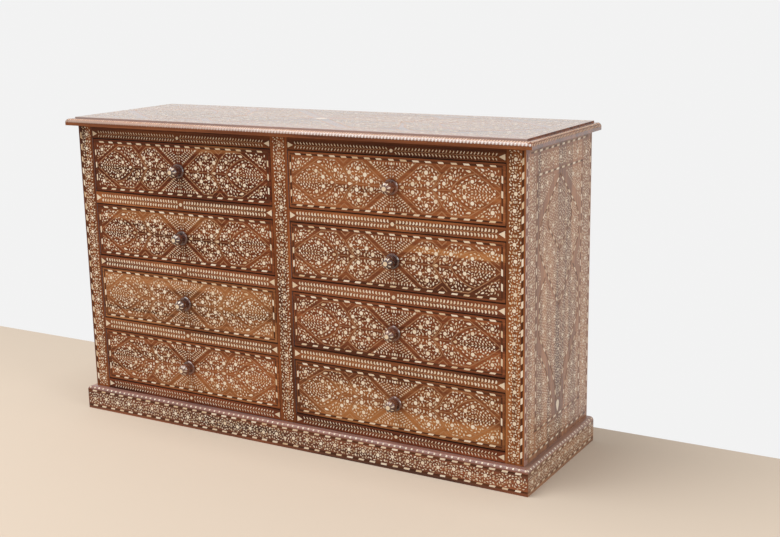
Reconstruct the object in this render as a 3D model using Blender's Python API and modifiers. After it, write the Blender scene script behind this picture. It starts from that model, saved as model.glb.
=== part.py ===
# A wide chest of eight inset drawers in two bays, made in hardwood for inlaying with bone.
# A mitred plinth carries the case: two side boards, a middle partition, a back, and a front
# frame whose rails are tenoned into the outer stiles and halved across the centre stile.
# The drawers run on boards behind the rails. Their sides are dovetailed into their fronts.
# Metres, +Z up. The front faces -Y, the floor is Z = 0, the origin is under the middle.

import math

import bmesh
import bpy
from mathutils import Matrix, Vector

for item in list(bpy.data.objects):
    bpy.data.objects.remove(item, do_unlink=True)

# Driving dimensions of the case and its front frame
CASE_WIDTH = 1.464
CASE_DEPTH = 0.438
STILE_WIDTH = 0.052
CENTRE_STILE_WIDTH = 0.055
FRAME_THICKNESS = 0.022
TOP_RAIL_HEIGHT = 0.038
DRAWER_RAIL_HEIGHT = 0.037
BOTTOM_RAIL_HEIGHT = 0.031
OPENING_HEIGHT = 0.160
DRAWER_ROWS = 4

# Boards of the case
SIDE_THICKNESS = 0.018
PARTITION_THICKNESS = 0.018
BACK_THICKNESS = 0.009
BOARD_THICKNESS = 0.012
GUIDE_HEIGHT = 0.015

# Moulded top: a plain fillet, a quarter round, a flat shelf and a raised field
TOP_OVERHANG = 0.0265
FILLET_HEIGHT = 0.0120
OVOLO_RADIUS = 0.0085
FIELD_RISE = 0.0035
FIELD_INSET = 0.021
OVOLO_SEGMENTS = 6

# Plinth with a rounded upper arris
PLINTH_HEIGHT = 0.071
PLINTH_PROJECTION = 0.021
PLINTH_THICKNESS = 0.040
PLINTH_BACK_THICKNESS = 0.020
ARRIS_RADIUS = 0.0105
ARRIS_SEGMENTS = 4
BEARER_WIDTH = 0.040

# Joints between the boards
TENON_THICKNESS = 0.008
TENON_LENGTH = 0.020
TENON_SHOULDER = 0.006
TONGUE_THICKNESS = 0.005
TONGUE_LENGTH = 0.006
TONGUE_STOP = 0.010
HOUSING_DEPTH = 0.005
REBATE_WIDTH = 0.009

# Drawers
FRONT_GAP = 0.0015
DRAWER_RECESS = 0.0015
FRONT_THICKNESS = 0.020
BOX_SIDE_THICKNESS = 0.012
BOX_BACK_THICKNESS = 0.012
BOX_BACK_SETBACK = 0.012
BOX_SIDE_DROP = 0.006
BOTTOM_THICKNESS = 0.006
BOTTOM_RISE = 0.014
GROOVE_DEPTH = 0.006
DOVETAIL_LAP = 0.006
DOVETAIL_PITCH = 0.036
DOVETAIL_SLOPE = 1 / 6
HALF_PIN = 0.005
PIN_WIDTH = 0.006

# Turned knob, measured from the face of the drawer front
KNOB_PROJECTION = 0.042
KNOB_RADIUS = 0.0175
KNOB_TIP_RADIUS = 0.0065
KNOB_NECK_RADIUS = 0.0125
KNOB_COLLAR_RADIUS = 0.0218
KNOB_COLLAR_THICKNESS = 0.009
KNOB_TENON_RADIUS = 0.006
KNOB_STEPS = 20
BALL_STEPS = 7
BEAD_STEPS = 5

# Gap between pieces that touch, and how far a cutter runs past the face that it opens
CLEARANCE = 0.0003
PAST = 0.004

# Places that follow from the sizes
FRONT_REACH = max(TOP_OVERHANG, PLINTH_PROJECTION, KNOB_PROJECTION - DRAWER_RECESS)
FRONT_Y = (FRONT_REACH - CASE_DEPTH) / 2
BACK_Y = FRONT_Y + CASE_DEPTH
FRAME_BACK_Y = FRONT_Y + FRAME_THICKNESS
BACK_FACE_Y = BACK_Y - BACK_THICKNESS
CASE_HALF = CASE_WIDTH / 2
PANEL_INNER = CASE_HALF - SIDE_THICKNESS
BAY_OUTER = CASE_HALF - STILE_WIDTH
BAY_INNER = CENTRE_STILE_WIDTH / 2
BAY_WIDTH = BAY_OUTER - BAY_INNER
ROW_PITCH = OPENING_HEIGHT + DRAWER_RAIL_HEIGHT
CASE_BOTTOM = PLINTH_HEIGHT + CLEARANCE
LOWEST_OPENING = PLINTH_HEIGHT + BOTTOM_RAIL_HEIGHT
CASE_TOP = LOWEST_OPENING + DRAWER_ROWS * ROW_PITCH - DRAWER_RAIL_HEIGHT + TOP_RAIL_HEIGHT
CASE_CROWN = CASE_TOP - CLEARANCE


def opening_floor(row):
    """Height of the bottom of a drawer opening, counting rows from the top."""
    return LOWEST_OPENING + (DRAWER_ROWS - row) * ROW_PITCH


def collection(name):
    """A collection of this name, linked to the scene."""
    group = bpy.data.collections.get(name)
    if group is None:
        group = bpy.data.collections.new(name)
        bpy.context.scene.collection.children.link(group)
    return group


PARTS = collection("inlaid_dresser")
CUTTERS = collection("inlaid_dresser_cutters")


def finish(name, colour, roughness):
    """A plain wood finish."""
    material = bpy.data.materials.new(name)
    material.use_nodes = True
    shader = material.node_tree.nodes["Principled BSDF"]
    shader.inputs["Base Color"].default_value = (*colour, 1.0)
    shader.inputs["Roughness"].default_value = roughness
    shader.inputs["Metallic"].default_value = 0.0
    return material


FRAME_WOOD = finish("frame_wood", (0.26, 0.11, 0.045), 0.42)
TOP_WOOD = finish("top_wood", (0.30, 0.15, 0.080), 0.35)
PANEL_WOOD = finish("panel_wood", (0.27, 0.12, 0.055), 0.42)
PLINTH_WOOD = finish("plinth_wood", (0.23, 0.095, 0.042), 0.42)
FRONT_WOOD = finish("drawer_front_wood", (0.25, 0.105, 0.042), 0.40)
BOX_WOOD = finish("drawer_box_wood", (0.45, 0.28, 0.14), 0.60)
HIDDEN_WOOD = finish("inner_board_wood", (0.38, 0.23, 0.12), 0.65)
KNOB_WOOD = finish("knob_wood", (0.085, 0.032, 0.018), 0.22)


def add_box(shape, low, high):
    """Add a box between two corners to a bmesh."""
    low = Vector(low)
    high = Vector(high)
    place = Matrix.Translation((low + high) / 2) @ Matrix.Diagonal((high - low).to_4d())
    bmesh.ops.create_cube(shape, size=1.0, matrix=place)


def box_shape(low, high):
    """A bmesh that holds one box, with its normals ready."""
    shape = bmesh.new()
    add_box(shape, low, high)
    shape.normal_update()
    return shape


def side_span(sign, inner, outer):
    """Lower and upper X of a stretch that lies between two distances from the middle."""
    return min(sign * inner, sign * outer), max(sign * inner, sign * outer)


def face_towards(shape, direction):
    """The flat face that lies furthest out in a direction."""
    direction = Vector(direction)
    facing = [face for face in shape.faces if face.normal.dot(direction) > 0.9]
    return max(facing, key=lambda face: face.calc_center_median().dot(direction))


def grow_tongue(shape, face, low, high, length):
    """Grow a tongue or tenon of a given section out of the middle of a flat face."""
    normal = face.normal.copy()
    middle = face.calc_center_median()
    bmesh.ops.inset_individual(shape, faces=[face], thickness=CLEARANCE)
    for corner in face.verts:
        for axis in range(3):
            if abs(normal[axis]) < 0.5:
                below = corner.co[axis] < middle[axis]
                corner.co[axis] = low[axis] if below else high[axis]
    grown = bmesh.ops.extrude_discrete_faces(shape, faces=[face])["faces"][0]
    bmesh.ops.translate(shape, vec=normal * length, verts=grown.verts)
    shape.normal_update()


def raise_field(shape, low, high, height):
    """Raise the stretch of the upper face that lies between two plan corners."""
    for axis in range(2):
        direction = Vector((axis == 0, axis == 1, 0.0))
        for value in (low[axis], high[axis]):
            everything = shape.verts[:] + shape.edges[:] + shape.faces[:]
            bmesh.ops.bisect_plane(
                shape, geom=everything, plane_co=direction * value, plane_no=direction
            )
    shape.normal_update()
    raised = []
    for face in shape.faces:
        middle = face.calc_center_median()
        inside = low[0] < middle.x < high[0] and low[1] < middle.y < high[1]
        if inside and face.normal.z > 0.9:
            raised.append(face)
    grown = bmesh.ops.extrude_discrete_faces(shape, faces=raised)["faces"]
    for face in grown:
        bmesh.ops.translate(shape, vec=(0, 0, height), verts=face.verts)
    shape.normal_update()


def to_mesh(shape, name, material):
    """Turn a bmesh into a mesh with its finish."""
    mesh = bpy.data.meshes.new(name)
    shape.to_mesh(mesh)
    shape.free()
    mesh.materials.append(material)
    return mesh


def add_part(name, mesh, parent=None):
    """Place a named piece, on a parent where it belongs to a drawer."""
    piece = bpy.data.objects.new(name, mesh)
    piece.parent = parent
    PARTS.objects.link(piece)
    return piece


def add_board(name, low, high, material):
    """A plain board between two corners."""
    return add_part(name, to_mesh(box_shape(low, high), name, material))


def add_boolean(piece, shape, operation):
    """Join or cut a piece with a bmesh kept as a hidden working solid."""
    name = f"{piece.name}_{operation.lower()}_{len(piece.modifiers)}"
    mesh = bpy.data.meshes.new(name)
    shape.to_mesh(mesh)
    shape.free()
    tool = bpy.data.objects.new(name, mesh)
    tool.hide_render = True
    tool.display_type = "WIRE"
    CUTTERS.objects.link(tool)
    modifier = piece.modifiers.new(operation.lower(), "BOOLEAN")
    modifier.operation = operation
    modifier.solver = "EXACT"
    modifier.object = tool


def cut_boxes(piece, boxes):
    """Cut a set of separate boxes out of a piece."""
    shape = bmesh.new()
    for low, high in boxes:
        add_box(shape, low, high)
    add_boolean(piece, shape, "DIFFERENCE")


def baked(piece):
    """The mesh of a working piece with its modifiers applied, once its tools are put away."""
    view = bpy.context.evaluated_depsgraph_get()
    mesh = bpy.data.meshes.new_from_object(piece.evaluated_get(view))
    for modifier in list(piece.modifiers):
        if modifier.type == "BOOLEAN":
            bpy.data.objects.remove(modifier.object, do_unlink=True)
    bpy.data.objects.remove(piece, do_unlink=True)
    return mesh


# Plinth: three moulded boards mitred at the front corners, a back board and a middle bearer
PLINTH_OUTER = CASE_HALF + PLINTH_PROJECTION
PLINTH_FRONT_Y = FRONT_Y - PLINTH_PROJECTION
PLINTH_BACK_Y = BACK_Y - PLINTH_BACK_THICKNESS


def round_arris(shape, outward):
    """Round the upper edge of a plinth board on the side that shows."""
    outer = face_towards(shape, outward)
    upper = face_towards(shape, (0, 0, 1))
    shared = [edge for edge in outer.edges if edge in upper.edges[:]]
    bmesh.ops.bevel(
        shape, geom=shared, offset=ARRIS_RADIUS, offset_type="OFFSET", affect="EDGES",
        segments=ARRIS_SEGMENTS, profile=0.5, material=-1,
    )


def cut_mitre(shape, sign, keep_front):
    """Cut one end of a plinth board at 45 degrees through its front corner."""
    corner = Vector((sign * PLINTH_OUTER, PLINTH_FRONT_Y, 0.0))
    across = Vector((sign, 1.0, 0.0)).normalized()
    shift = -CLEARANCE / 2 if keep_front else CLEARANCE / 2
    everything = shape.verts[:] + shape.edges[:] + shape.faces[:]
    bmesh.ops.bisect_plane(
        shape, geom=everything, plane_co=corner + across * shift, plane_no=across,
        clear_outer=keep_front, clear_inner=not keep_front,
    )
    bmesh.ops.holes_fill(shape, edges=shape.edges[:], sides=0)
    bmesh.ops.recalc_face_normals(shape, faces=shape.faces[:])


plinth = box_shape(
    (-PLINTH_OUTER, PLINTH_FRONT_Y, 0.0),
    (PLINTH_OUTER, PLINTH_FRONT_Y + PLINTH_THICKNESS, PLINTH_HEIGHT),
)
round_arris(plinth, (0, -1, 0))
for sign in (-1, 1):
    cut_mitre(plinth, sign, True)
add_part("plinth_front", to_mesh(plinth, "plinth_front", PLINTH_WOOD))

for side, sign in (("left", -1), ("right", 1)):
    near, far = side_span(sign, PLINTH_OUTER - PLINTH_THICKNESS, PLINTH_OUTER)
    plinth = box_shape((near, PLINTH_FRONT_Y, 0.0), (far, BACK_Y, PLINTH_HEIGHT))
    round_arris(plinth, (sign, 0, 0))
    cut_mitre(plinth, sign, False)
    add_part(f"plinth_{side}", to_mesh(plinth, f"plinth_{side}", PLINTH_WOOD))

PLINTH_INNER = PLINTH_OUTER - PLINTH_THICKNESS - CLEARANCE
add_board(
    "plinth_back",
    (-PLINTH_INNER, PLINTH_BACK_Y, 0.0),
    (PLINTH_INNER, BACK_Y, PLINTH_HEIGHT),
    HIDDEN_WOOD,
)
add_board(
    "plinth_bearer",
    (-BEARER_WIDTH / 2, PLINTH_FRONT_Y + PLINTH_THICKNESS + CLEARANCE, 0.0),
    (BEARER_WIDTH / 2, PLINTH_BACK_Y - CLEARANCE, PLINTH_HEIGHT),
    HIDDEN_WOOD,
)

# Front frame: the rails run through from one outer stile to the other
RAILS = {"top_rail": (CASE_TOP - TOP_RAIL_HEIGHT, CASE_CROWN)}
for row in range(1, DRAWER_ROWS):
    RAILS[f"drawer_rail_{row}"] = (opening_floor(row) - DRAWER_RAIL_HEIGHT, opening_floor(row))
RAILS["bottom_rail"] = (CASE_BOTTOM, opening_floor(DRAWER_ROWS))

TENON_FRONT_Y = FRONT_Y + (FRAME_THICKNESS - TENON_THICKNESS) / 2
TENON_BACK_Y = TENON_FRONT_Y + TENON_THICKNESS
LAP_Y = FRONT_Y + FRAME_THICKNESS / 2
TONGUE_INSET = (BOARD_THICKNESS - TONGUE_THICKNESS) / 2
SIDE_TONGUE_NEAR = CASE_HALF - (SIDE_THICKNESS + TONGUE_THICKNESS) / 2
SIDE_TONGUE_FAR = SIDE_TONGUE_NEAR + TONGUE_THICKNESS

for side, sign in (("left", -1), ("right", 1)):
    near, far = side_span(sign, BAY_OUTER, CASE_HALF)
    stile = add_board(
        f"stile_{side}", (near, FRONT_Y, CASE_BOTTOM), (far, FRAME_BACK_Y, CASE_CROWN), FRAME_WOOD
    )
    near, far = side_span(sign, BAY_OUTER - PAST, BAY_OUTER + TENON_LENGTH + CLEARANCE)
    mortises = []
    for low_z, high_z in RAILS.values():
        low = (near, TENON_FRONT_Y - CLEARANCE, low_z + TENON_SHOULDER - CLEARANCE)
        high = (far, TENON_BACK_Y + CLEARANCE, high_z - TENON_SHOULDER + CLEARANCE)
        mortises.append((low, high))
    near, far = side_span(sign, SIDE_TONGUE_NEAR - CLEARANCE, SIDE_TONGUE_FAR + CLEARANCE)
    groove_low = (near, FRAME_BACK_Y - TONGUE_LENGTH - CLEARANCE, CASE_BOTTOM + TONGUE_STOP - CLEARANCE)
    groove_high = (far, FRAME_BACK_Y + PAST, CASE_CROWN - TONGUE_STOP + CLEARANCE)
    cut_boxes(stile, mortises + [(groove_low, groove_high)])

centre_stile = add_board(
    "stile_centre",
    (-BAY_INNER, FRONT_Y, CASE_BOTTOM),
    (BAY_INNER, FRAME_BACK_Y, CASE_CROWN),
    FRAME_WOOD,
)
laps = []
for low_z, high_z in RAILS.values():
    low = (-BAY_INNER - PAST, LAP_Y - CLEARANCE / 2, low_z - CLEARANCE)
    high = (BAY_INNER + PAST, FRAME_BACK_Y + PAST, high_z + CLEARANCE)
    laps.append((low, high))
cut_boxes(centre_stile, laps)

for name, (low_z, high_z) in RAILS.items():
    shoulder = BAY_OUTER - CLEARANCE
    rail = box_shape((-shoulder, FRONT_Y, low_z), (shoulder, FRAME_BACK_Y, high_z))
    tenon_low = (0, TENON_FRONT_Y, low_z + TENON_SHOULDER)
    tenon_high = (0, TENON_BACK_Y, high_z - TENON_SHOULDER)
    for sign in (-1, 1):
        grow_tongue(rail, face_towards(rail, (sign, 0, 0)), tenon_low, tenon_high, TENON_LENGTH)
    piece = add_part(name, to_mesh(rail, name, FRAME_WOOD))
    lap_low = (-BAY_INNER - CLEARANCE, FRONT_Y - PAST, low_z - PAST)
    lap_high = (BAY_INNER + CLEARANCE, LAP_Y + CLEARANCE / 2, high_z + PAST)
    cuts = [(lap_low, lap_high)]
    if name != "top_rail":
        reach = BAY_OUTER - TONGUE_STOP + CLEARANCE
        groove_z = high_z - BOARD_THICKNESS + TONGUE_INSET - CLEARANCE
        groove_low = (-reach, FRAME_BACK_Y - TONGUE_LENGTH - CLEARANCE, groove_z)
        groove_high = (reach, FRAME_BACK_Y + PAST, groove_z + TONGUE_THICKNESS + 2 * CLEARANCE)
        cuts.append((groove_low, groove_high))
    cut_boxes(piece, cuts)

# Side boards and middle partition, housed for the boards that the drawers run on
BOARD_FRONT_Y = FRAME_BACK_Y + CLEARANCE
BOARD_BACK_Y = BACK_FACE_Y - CLEARANCE


def housings(sign, face, depth):
    """Housings in one face of an upright board, one for each drawer row."""
    near, far = side_span(sign, face - PAST, face + depth)
    boxes = []
    for row in range(1, DRAWER_ROWS + 1):
        top = opening_floor(row)
        low = (near, FRAME_BACK_Y - PAST, top - BOARD_THICKNESS - CLEARANCE)
        high = (far, BOARD_BACK_Y + PAST, top + CLEARANCE)
        boxes.append((low, high))
    return boxes


for side, sign in (("left", -1), ("right", 1)):
    near, far = side_span(sign, PANEL_INNER, CASE_HALF)
    panel = box_shape((near, BOARD_FRONT_Y, CASE_BOTTOM), (far, BACK_Y, CASE_CROWN))
    near, far = side_span(sign, SIDE_TONGUE_NEAR, SIDE_TONGUE_FAR)
    tongue_low = (near, 0, CASE_BOTTOM + TONGUE_STOP)
    tongue_high = (far, 0, CASE_CROWN - TONGUE_STOP)
    grow_tongue(panel, face_towards(panel, (0, -1, 0)), tongue_low, tongue_high, TONGUE_LENGTH)
    piece = add_part(f"side_panel_{side}", to_mesh(panel, f"side_panel_{side}", PANEL_WOOD))
    cut_boxes(piece, housings(sign, PANEL_INNER, HOUSING_DEPTH))
    near, far = side_span(sign, PANEL_INNER - PAST, PANEL_INNER + REBATE_WIDTH)
    rebate_low = (near, BOARD_BACK_Y, CASE_BOTTOM - PAST)
    rebate_high = (far, BACK_Y + PAST, CASE_CROWN + PAST)
    cut_boxes(piece, [(rebate_low, rebate_high)])

partition = add_board(
    "centre_partition",
    (-PARTITION_THICKNESS / 2, BOARD_FRONT_Y, CASE_BOTTOM),
    (PARTITION_THICKNESS / 2, BOARD_BACK_Y, CASE_CROWN),
    HIDDEN_WOOD,
)
slots = []
for sign in (-1, 1):
    slots.extend(housings(-sign, -PARTITION_THICKNESS / 2, HOUSING_DEPTH))
cut_boxes(partition, slots)

BACK_PANEL_HALF = PANEL_INNER + REBATE_WIDTH - CLEARANCE
add_board(
    "back_panel",
    (-BACK_PANEL_HALF, BACK_FACE_Y, CASE_BOTTOM),
    (BACK_PANEL_HALF, BACK_Y, CASE_CROWN),
    HIDDEN_WOOD,
)

# Boards that the drawers run on, tongued into the rails, with a guide strip along each end
BOARD_OUTER = PANEL_INNER + HOUSING_DEPTH - CLEARANCE
BOARD_INNER = PARTITION_THICKNESS / 2 - HOUSING_DEPTH + CLEARANCE
for side, sign in (("left", -1), ("right", 1)):
    for row in range(1, DRAWER_ROWS + 1):
        top = opening_floor(row)
        near, far = side_span(sign, BOARD_INNER, BOARD_OUTER)
        board = box_shape((near, BOARD_FRONT_Y, top - BOARD_THICKNESS), (far, BOARD_BACK_Y, top))
        near, far = side_span(sign, BAY_INNER, BAY_OUTER - TONGUE_STOP)
        tongue_low = (near, 0, top - BOARD_THICKNESS + TONGUE_INSET)
        tongue_high = (far, 0, top - TONGUE_INSET)
        grow_tongue(board, face_towards(board, (0, -1, 0)), tongue_low, tongue_high, TONGUE_LENGTH)
        guides = (
            side_span(sign, BAY_OUTER, PANEL_INNER - CLEARANCE),
            side_span(sign, PARTITION_THICKNESS / 2 + CLEARANCE, BAY_INNER),
        )
        for near, far in guides:
            raise_field(board, (near, BOARD_FRONT_Y), (far, BOARD_BACK_Y), GUIDE_HEIGHT)
        name = f"bottom_board_{side}" if row == DRAWER_ROWS else f"drawer_board_{side}_{row}"
        add_part(name, to_mesh(board, name, HIDDEN_WOOD))

# Top: one board moulded along its front and ends, square at the back
TOP_HALF = CASE_HALF + TOP_OVERHANG
TOP_FRONT_Y = FRONT_Y - TOP_OVERHANG
SHELF_Z = CASE_TOP + FILLET_HEIGHT + OVOLO_RADIUS
top = box_shape((-TOP_HALF, TOP_FRONT_Y, CASE_TOP), (TOP_HALF, BACK_Y, SHELF_Z))
upper_face = face_towards(top, (0, 0, 1))
back_face = face_towards(top, (0, 1, 0))
moulded = [edge for edge in upper_face.edges if edge not in back_face.edges[:]]
bmesh.ops.bevel(
    top, geom=moulded, offset=OVOLO_RADIUS, offset_type="OFFSET", affect="EDGES",
    segments=OVOLO_SEGMENTS, profile=0.5, material=-1,
)
FIELD_HALF = TOP_HALF - FIELD_INSET
raise_field(top, (-FIELD_HALF, TOP_FRONT_Y + FIELD_INSET), (FIELD_HALF, BACK_Y), FIELD_RISE)
add_part("top_board", to_mesh(top, "top_board", TOP_WOOD))

# Drawer pieces are modelled about the middle of the front's face, then placed eight times
FRONT_HALF = BAY_WIDTH / 2 - FRONT_GAP
FRONT_TOP = OPENING_HEIGHT / 2 - FRONT_GAP
BOX_TOP = FRONT_TOP - BOX_SIDE_DROP
BOX_FLOOR = CLEARANCE - OPENING_HEIGHT / 2
BOX_LENGTH = CASE_DEPTH - BACK_THICKNESS - DRAWER_RECESS - CLEARANCE
BOX_INNER = FRONT_HALF - BOX_SIDE_THICKNESS
BOX_SHOULDER = FRONT_THICKNESS + CLEARANCE
GROOVE_LOW = BOX_FLOOR + BOTTOM_RISE
GROOVE_HIGH = GROOVE_LOW + BOTTOM_THICKNESS + 2 * CLEARANCE
TAIL_TIP = DOVETAIL_LAP + CLEARANCE
TAILS_LOW = HALF_PIN - FRONT_TOP
TAILS_HIGH = BOX_TOP - HALF_PIN
TAIL_COUNT = max(2, round((TAILS_HIGH - TAILS_LOW) / DOVETAIL_PITCH))
TAIL_STEP = (TAILS_HIGH - TAILS_LOW) / TAIL_COUNT
TAIL_TIP_HALF = (TAIL_STEP - PIN_WIDTH) / 2


def side_outline(shoulder, grow):
    """Outline of a drawer side as depth and height, its front end cut into dovetails."""
    root = TAIL_TIP_HALF - (shoulder - TAIL_TIP) * DOVETAIL_SLOPE + grow
    tip = TAIL_TIP_HALF + grow
    points = [(BOX_LENGTH, BOX_TOP), (BOX_LENGTH, BOX_FLOOR), (shoulder, BOX_FLOOR)]
    for index in range(TAIL_COUNT):
        middle = TAILS_LOW + (index + 0.5) * TAIL_STEP
        points.append((shoulder, middle - root))
        points.append((TAIL_TIP - grow, middle - tip))
        points.append((TAIL_TIP - grow, middle + tip))
        points.append((shoulder, middle + root))
    points.append((shoulder, BOX_TOP))
    return points


def extrude_outline(shape, points, near, far):
    """Add a flat depth-and-height outline to a bmesh, as a board between two X places."""
    curve = bpy.data.curves.new("outline", "CURVE")
    curve.dimensions = "2D"
    curve.fill_mode = "BOTH"
    curve.extrude = (far - near) / 2
    spline = curve.splines.new("POLY")
    spline.points.add(len(points) - 1)
    for point, (depth, height) in zip(spline.points, points):
        point.co = (depth, height, 0.0, 1.0)
    spline.use_cyclic_u = True
    outline = bpy.data.objects.new("outline", curve)
    CUTTERS.objects.link(outline)
    view = bpy.context.evaluated_depsgraph_get()
    mesh = bpy.data.meshes.new_from_object(outline.evaluated_get(view))
    bpy.data.objects.remove(outline, do_unlink=True)
    upright = Matrix(((0, 0, 1, (near + far) / 2), (1, 0, 0, 0), (0, 1, 0, 0), (0, 0, 0, 1)))
    mesh.transform(upright)
    shape.from_mesh(mesh)
    bpy.data.meshes.remove(mesh)


def welded_sides(shoulder, grow, inner, outer):
    """Both drawer sides as one bmesh of two closed boards."""
    shape = bmesh.new()
    for sign in (-1, 1):
        near, far = side_span(sign, inner, outer)
        extrude_outline(shape, side_outline(shoulder, grow), near, far)
    bmesh.ops.remove_doubles(shape, verts=shape.verts[:], dist=CLEARANCE / 10)
    bmesh.ops.recalc_face_normals(shape, faces=shape.faces[:])
    return shape


def drawer_front_mesh():
    """Front board with sockets for the tails, a groove for the bottom and a hole for the knob."""
    shape = box_shape(
        (-FRONT_HALF, 0.0, -FRONT_TOP),
        (FRONT_HALF, FRONT_THICKNESS, FRONT_TOP),
    )
    piece = add_part("drawer_front", to_mesh(shape, "drawer_front", FRONT_WOOD))
    sockets = welded_sides(
        FRONT_THICKNESS + PAST, CLEARANCE, BOX_INNER - CLEARANCE, FRONT_HALF + PAST
    )
    add_boolean(piece, sockets, "DIFFERENCE")
    groove_low = (-BOX_INNER - GROOVE_DEPTH, FRONT_THICKNESS - GROOVE_DEPTH, GROOVE_LOW)
    groove_high = (BOX_INNER + GROOVE_DEPTH, FRONT_THICKNESS + PAST, GROOVE_HIGH)
    cut_boxes(piece, [(groove_low, groove_high)])
    bore = bmesh.new()
    bore_radius = KNOB_TENON_RADIUS + CLEARANCE
    place = Matrix.Translation((0, FRONT_THICKNESS / 2, 0)) @ Matrix.Rotation(math.pi / 2, 4, "X")
    bmesh.ops.create_cone(
        bore, cap_ends=True, segments=KNOB_STEPS, radius1=bore_radius, radius2=bore_radius,
        depth=FRONT_THICKNESS + 2 * PAST, matrix=place,
    )
    add_boolean(piece, bore, "DIFFERENCE")
    return baked(piece)


def drawer_box_mesh():
    """Two sides and the back of a drawer, grooved along the sides for the bottom."""
    back_y = BOX_LENGTH - BOX_BACK_SETBACK
    held = BOX_INNER + BOX_SIDE_THICKNESS / 3
    shape = box_shape(
        (-held, back_y - BOX_BACK_THICKNESS, GROOVE_HIGH + CLEARANCE),
        (held, back_y, BOX_TOP - BOX_SIDE_DROP),
    )
    piece = add_part("drawer_box", to_mesh(shape, "drawer_box", BOX_WOOD))
    add_boolean(piece, welded_sides(BOX_SHOULDER, 0.0, BOX_INNER, FRONT_HALF), "UNION")
    grooves = []
    for sign in (-1, 1):
        near, far = side_span(sign, BOX_INNER - PAST, BOX_INNER + GROOVE_DEPTH)
        grooves.append(((near, TAIL_TIP - PAST, GROOVE_LOW), (far, BOX_LENGTH + PAST, GROOVE_HIGH)))
    cut_boxes(piece, grooves)
    return baked(piece)


def drawer_bottom_mesh():
    """Thin bottom that slides into the grooves from behind, under the back."""
    half = BOX_INNER + GROOVE_DEPTH - CLEARANCE
    low_z = GROOVE_LOW + CLEARANCE
    low = (-half, FRONT_THICKNESS - GROOVE_DEPTH + CLEARANCE, low_z)
    high = (half, BOX_LENGTH - BOX_BACK_SETBACK, low_z + BOTTOM_THICKNESS)
    return to_mesh(box_shape(low, high), "drawer_bottom", BOX_WOOD)


def arc(radius, centre_radius, centre_height, start, end, steps):
    """Points of an arc on a turned profile, as angles from the axis."""
    points = []
    for step in range(steps + 1):
        angle = start + (end - start) * step / steps
        points.append((centre_radius + radius * math.sin(angle), centre_height + radius * math.cos(angle)))
    return points


def knob_profile():
    """Half section of the knob from its tip down to the end of its tenon."""
    ball_z = KNOB_PROJECTION - math.sqrt(KNOB_RADIUS ** 2 - KNOB_TIP_RADIUS ** 2)
    tip_angle = math.asin(KNOB_TIP_RADIUS / KNOB_RADIUS)
    neck_angle = math.pi - math.asin(KNOB_NECK_RADIUS / KNOB_RADIUS)
    bead = (KNOB_COLLAR_THICKNESS - CLEARANCE) / 2
    bead_radius = KNOB_COLLAR_RADIUS - bead
    tenon_end = DRAWER_RECESS - FRONT_THICKNESS
    points = [(0.0, KNOB_PROJECTION)]
    points += arc(KNOB_RADIUS, 0.0, ball_z, tip_angle, neck_angle, BALL_STEPS)
    points.append((KNOB_NECK_RADIUS, KNOB_COLLAR_THICKNESS))
    points += arc(bead, bead_radius, CLEARANCE + bead, 0.0, math.pi, BEAD_STEPS)
    points.append((KNOB_TENON_RADIUS, CLEARANCE))
    points.append((KNOB_TENON_RADIUS, tenon_end))
    points.append((0.0, tenon_end))
    return points


def knob_mesh():
    """Turned knob with a round collar and a tenon that goes through the drawer front."""
    profile = bmesh.new()
    corners = [profile.verts.new((radius, 0.0, height)) for radius, height in knob_profile()]
    for upper, lower in zip(corners, corners[1:]):
        profile.edges.new((upper, lower))
    piece = add_part("knob", to_mesh(profile, "knob", KNOB_WOOD))
    turning = piece.modifiers.new("turning", "SCREW")
    turning.axis = "Z"
    turning.angle = 2 * math.pi
    turning.steps = KNOB_STEPS
    turning.render_steps = KNOB_STEPS
    turning.use_merge_vertices = True
    turning.merge_threshold = CLEARANCE / 10
    mesh = baked(piece)
    mesh.transform(Matrix.Rotation(math.pi / 2, 4, "X"))
    mesh.shade_smooth()
    mesh.set_sharp_from_angle(angle=math.radians(40))
    return mesh


DRAWER_MESHES = {
    "front": drawer_front_mesh(),
    "box": drawer_box_mesh(),
    "bottom": drawer_bottom_mesh(),
    "knob": knob_mesh(),
}
BAY_MIDDLE = (BAY_INNER + BAY_OUTER) / 2
for side, sign in (("left", -1), ("right", 1)):
    for row in range(1, DRAWER_ROWS + 1):
        slide = bpy.data.objects.new(f"drawer_{side}_{row}_slide", None)
        slide.location = (
            sign * BAY_MIDDLE,
            FRONT_Y + DRAWER_RECESS,
            opening_floor(row) + OPENING_HEIGHT / 2,
        )
        PARTS.objects.link(slide)
        for kind, mesh in DRAWER_MESHES.items():
            add_part(f"drawer_{side}_{row}_{kind}", mesh, slide)
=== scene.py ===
import math
import random

import bmesh
import bpy
import numpy as np
from mathutils import Matrix, Vector


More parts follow.
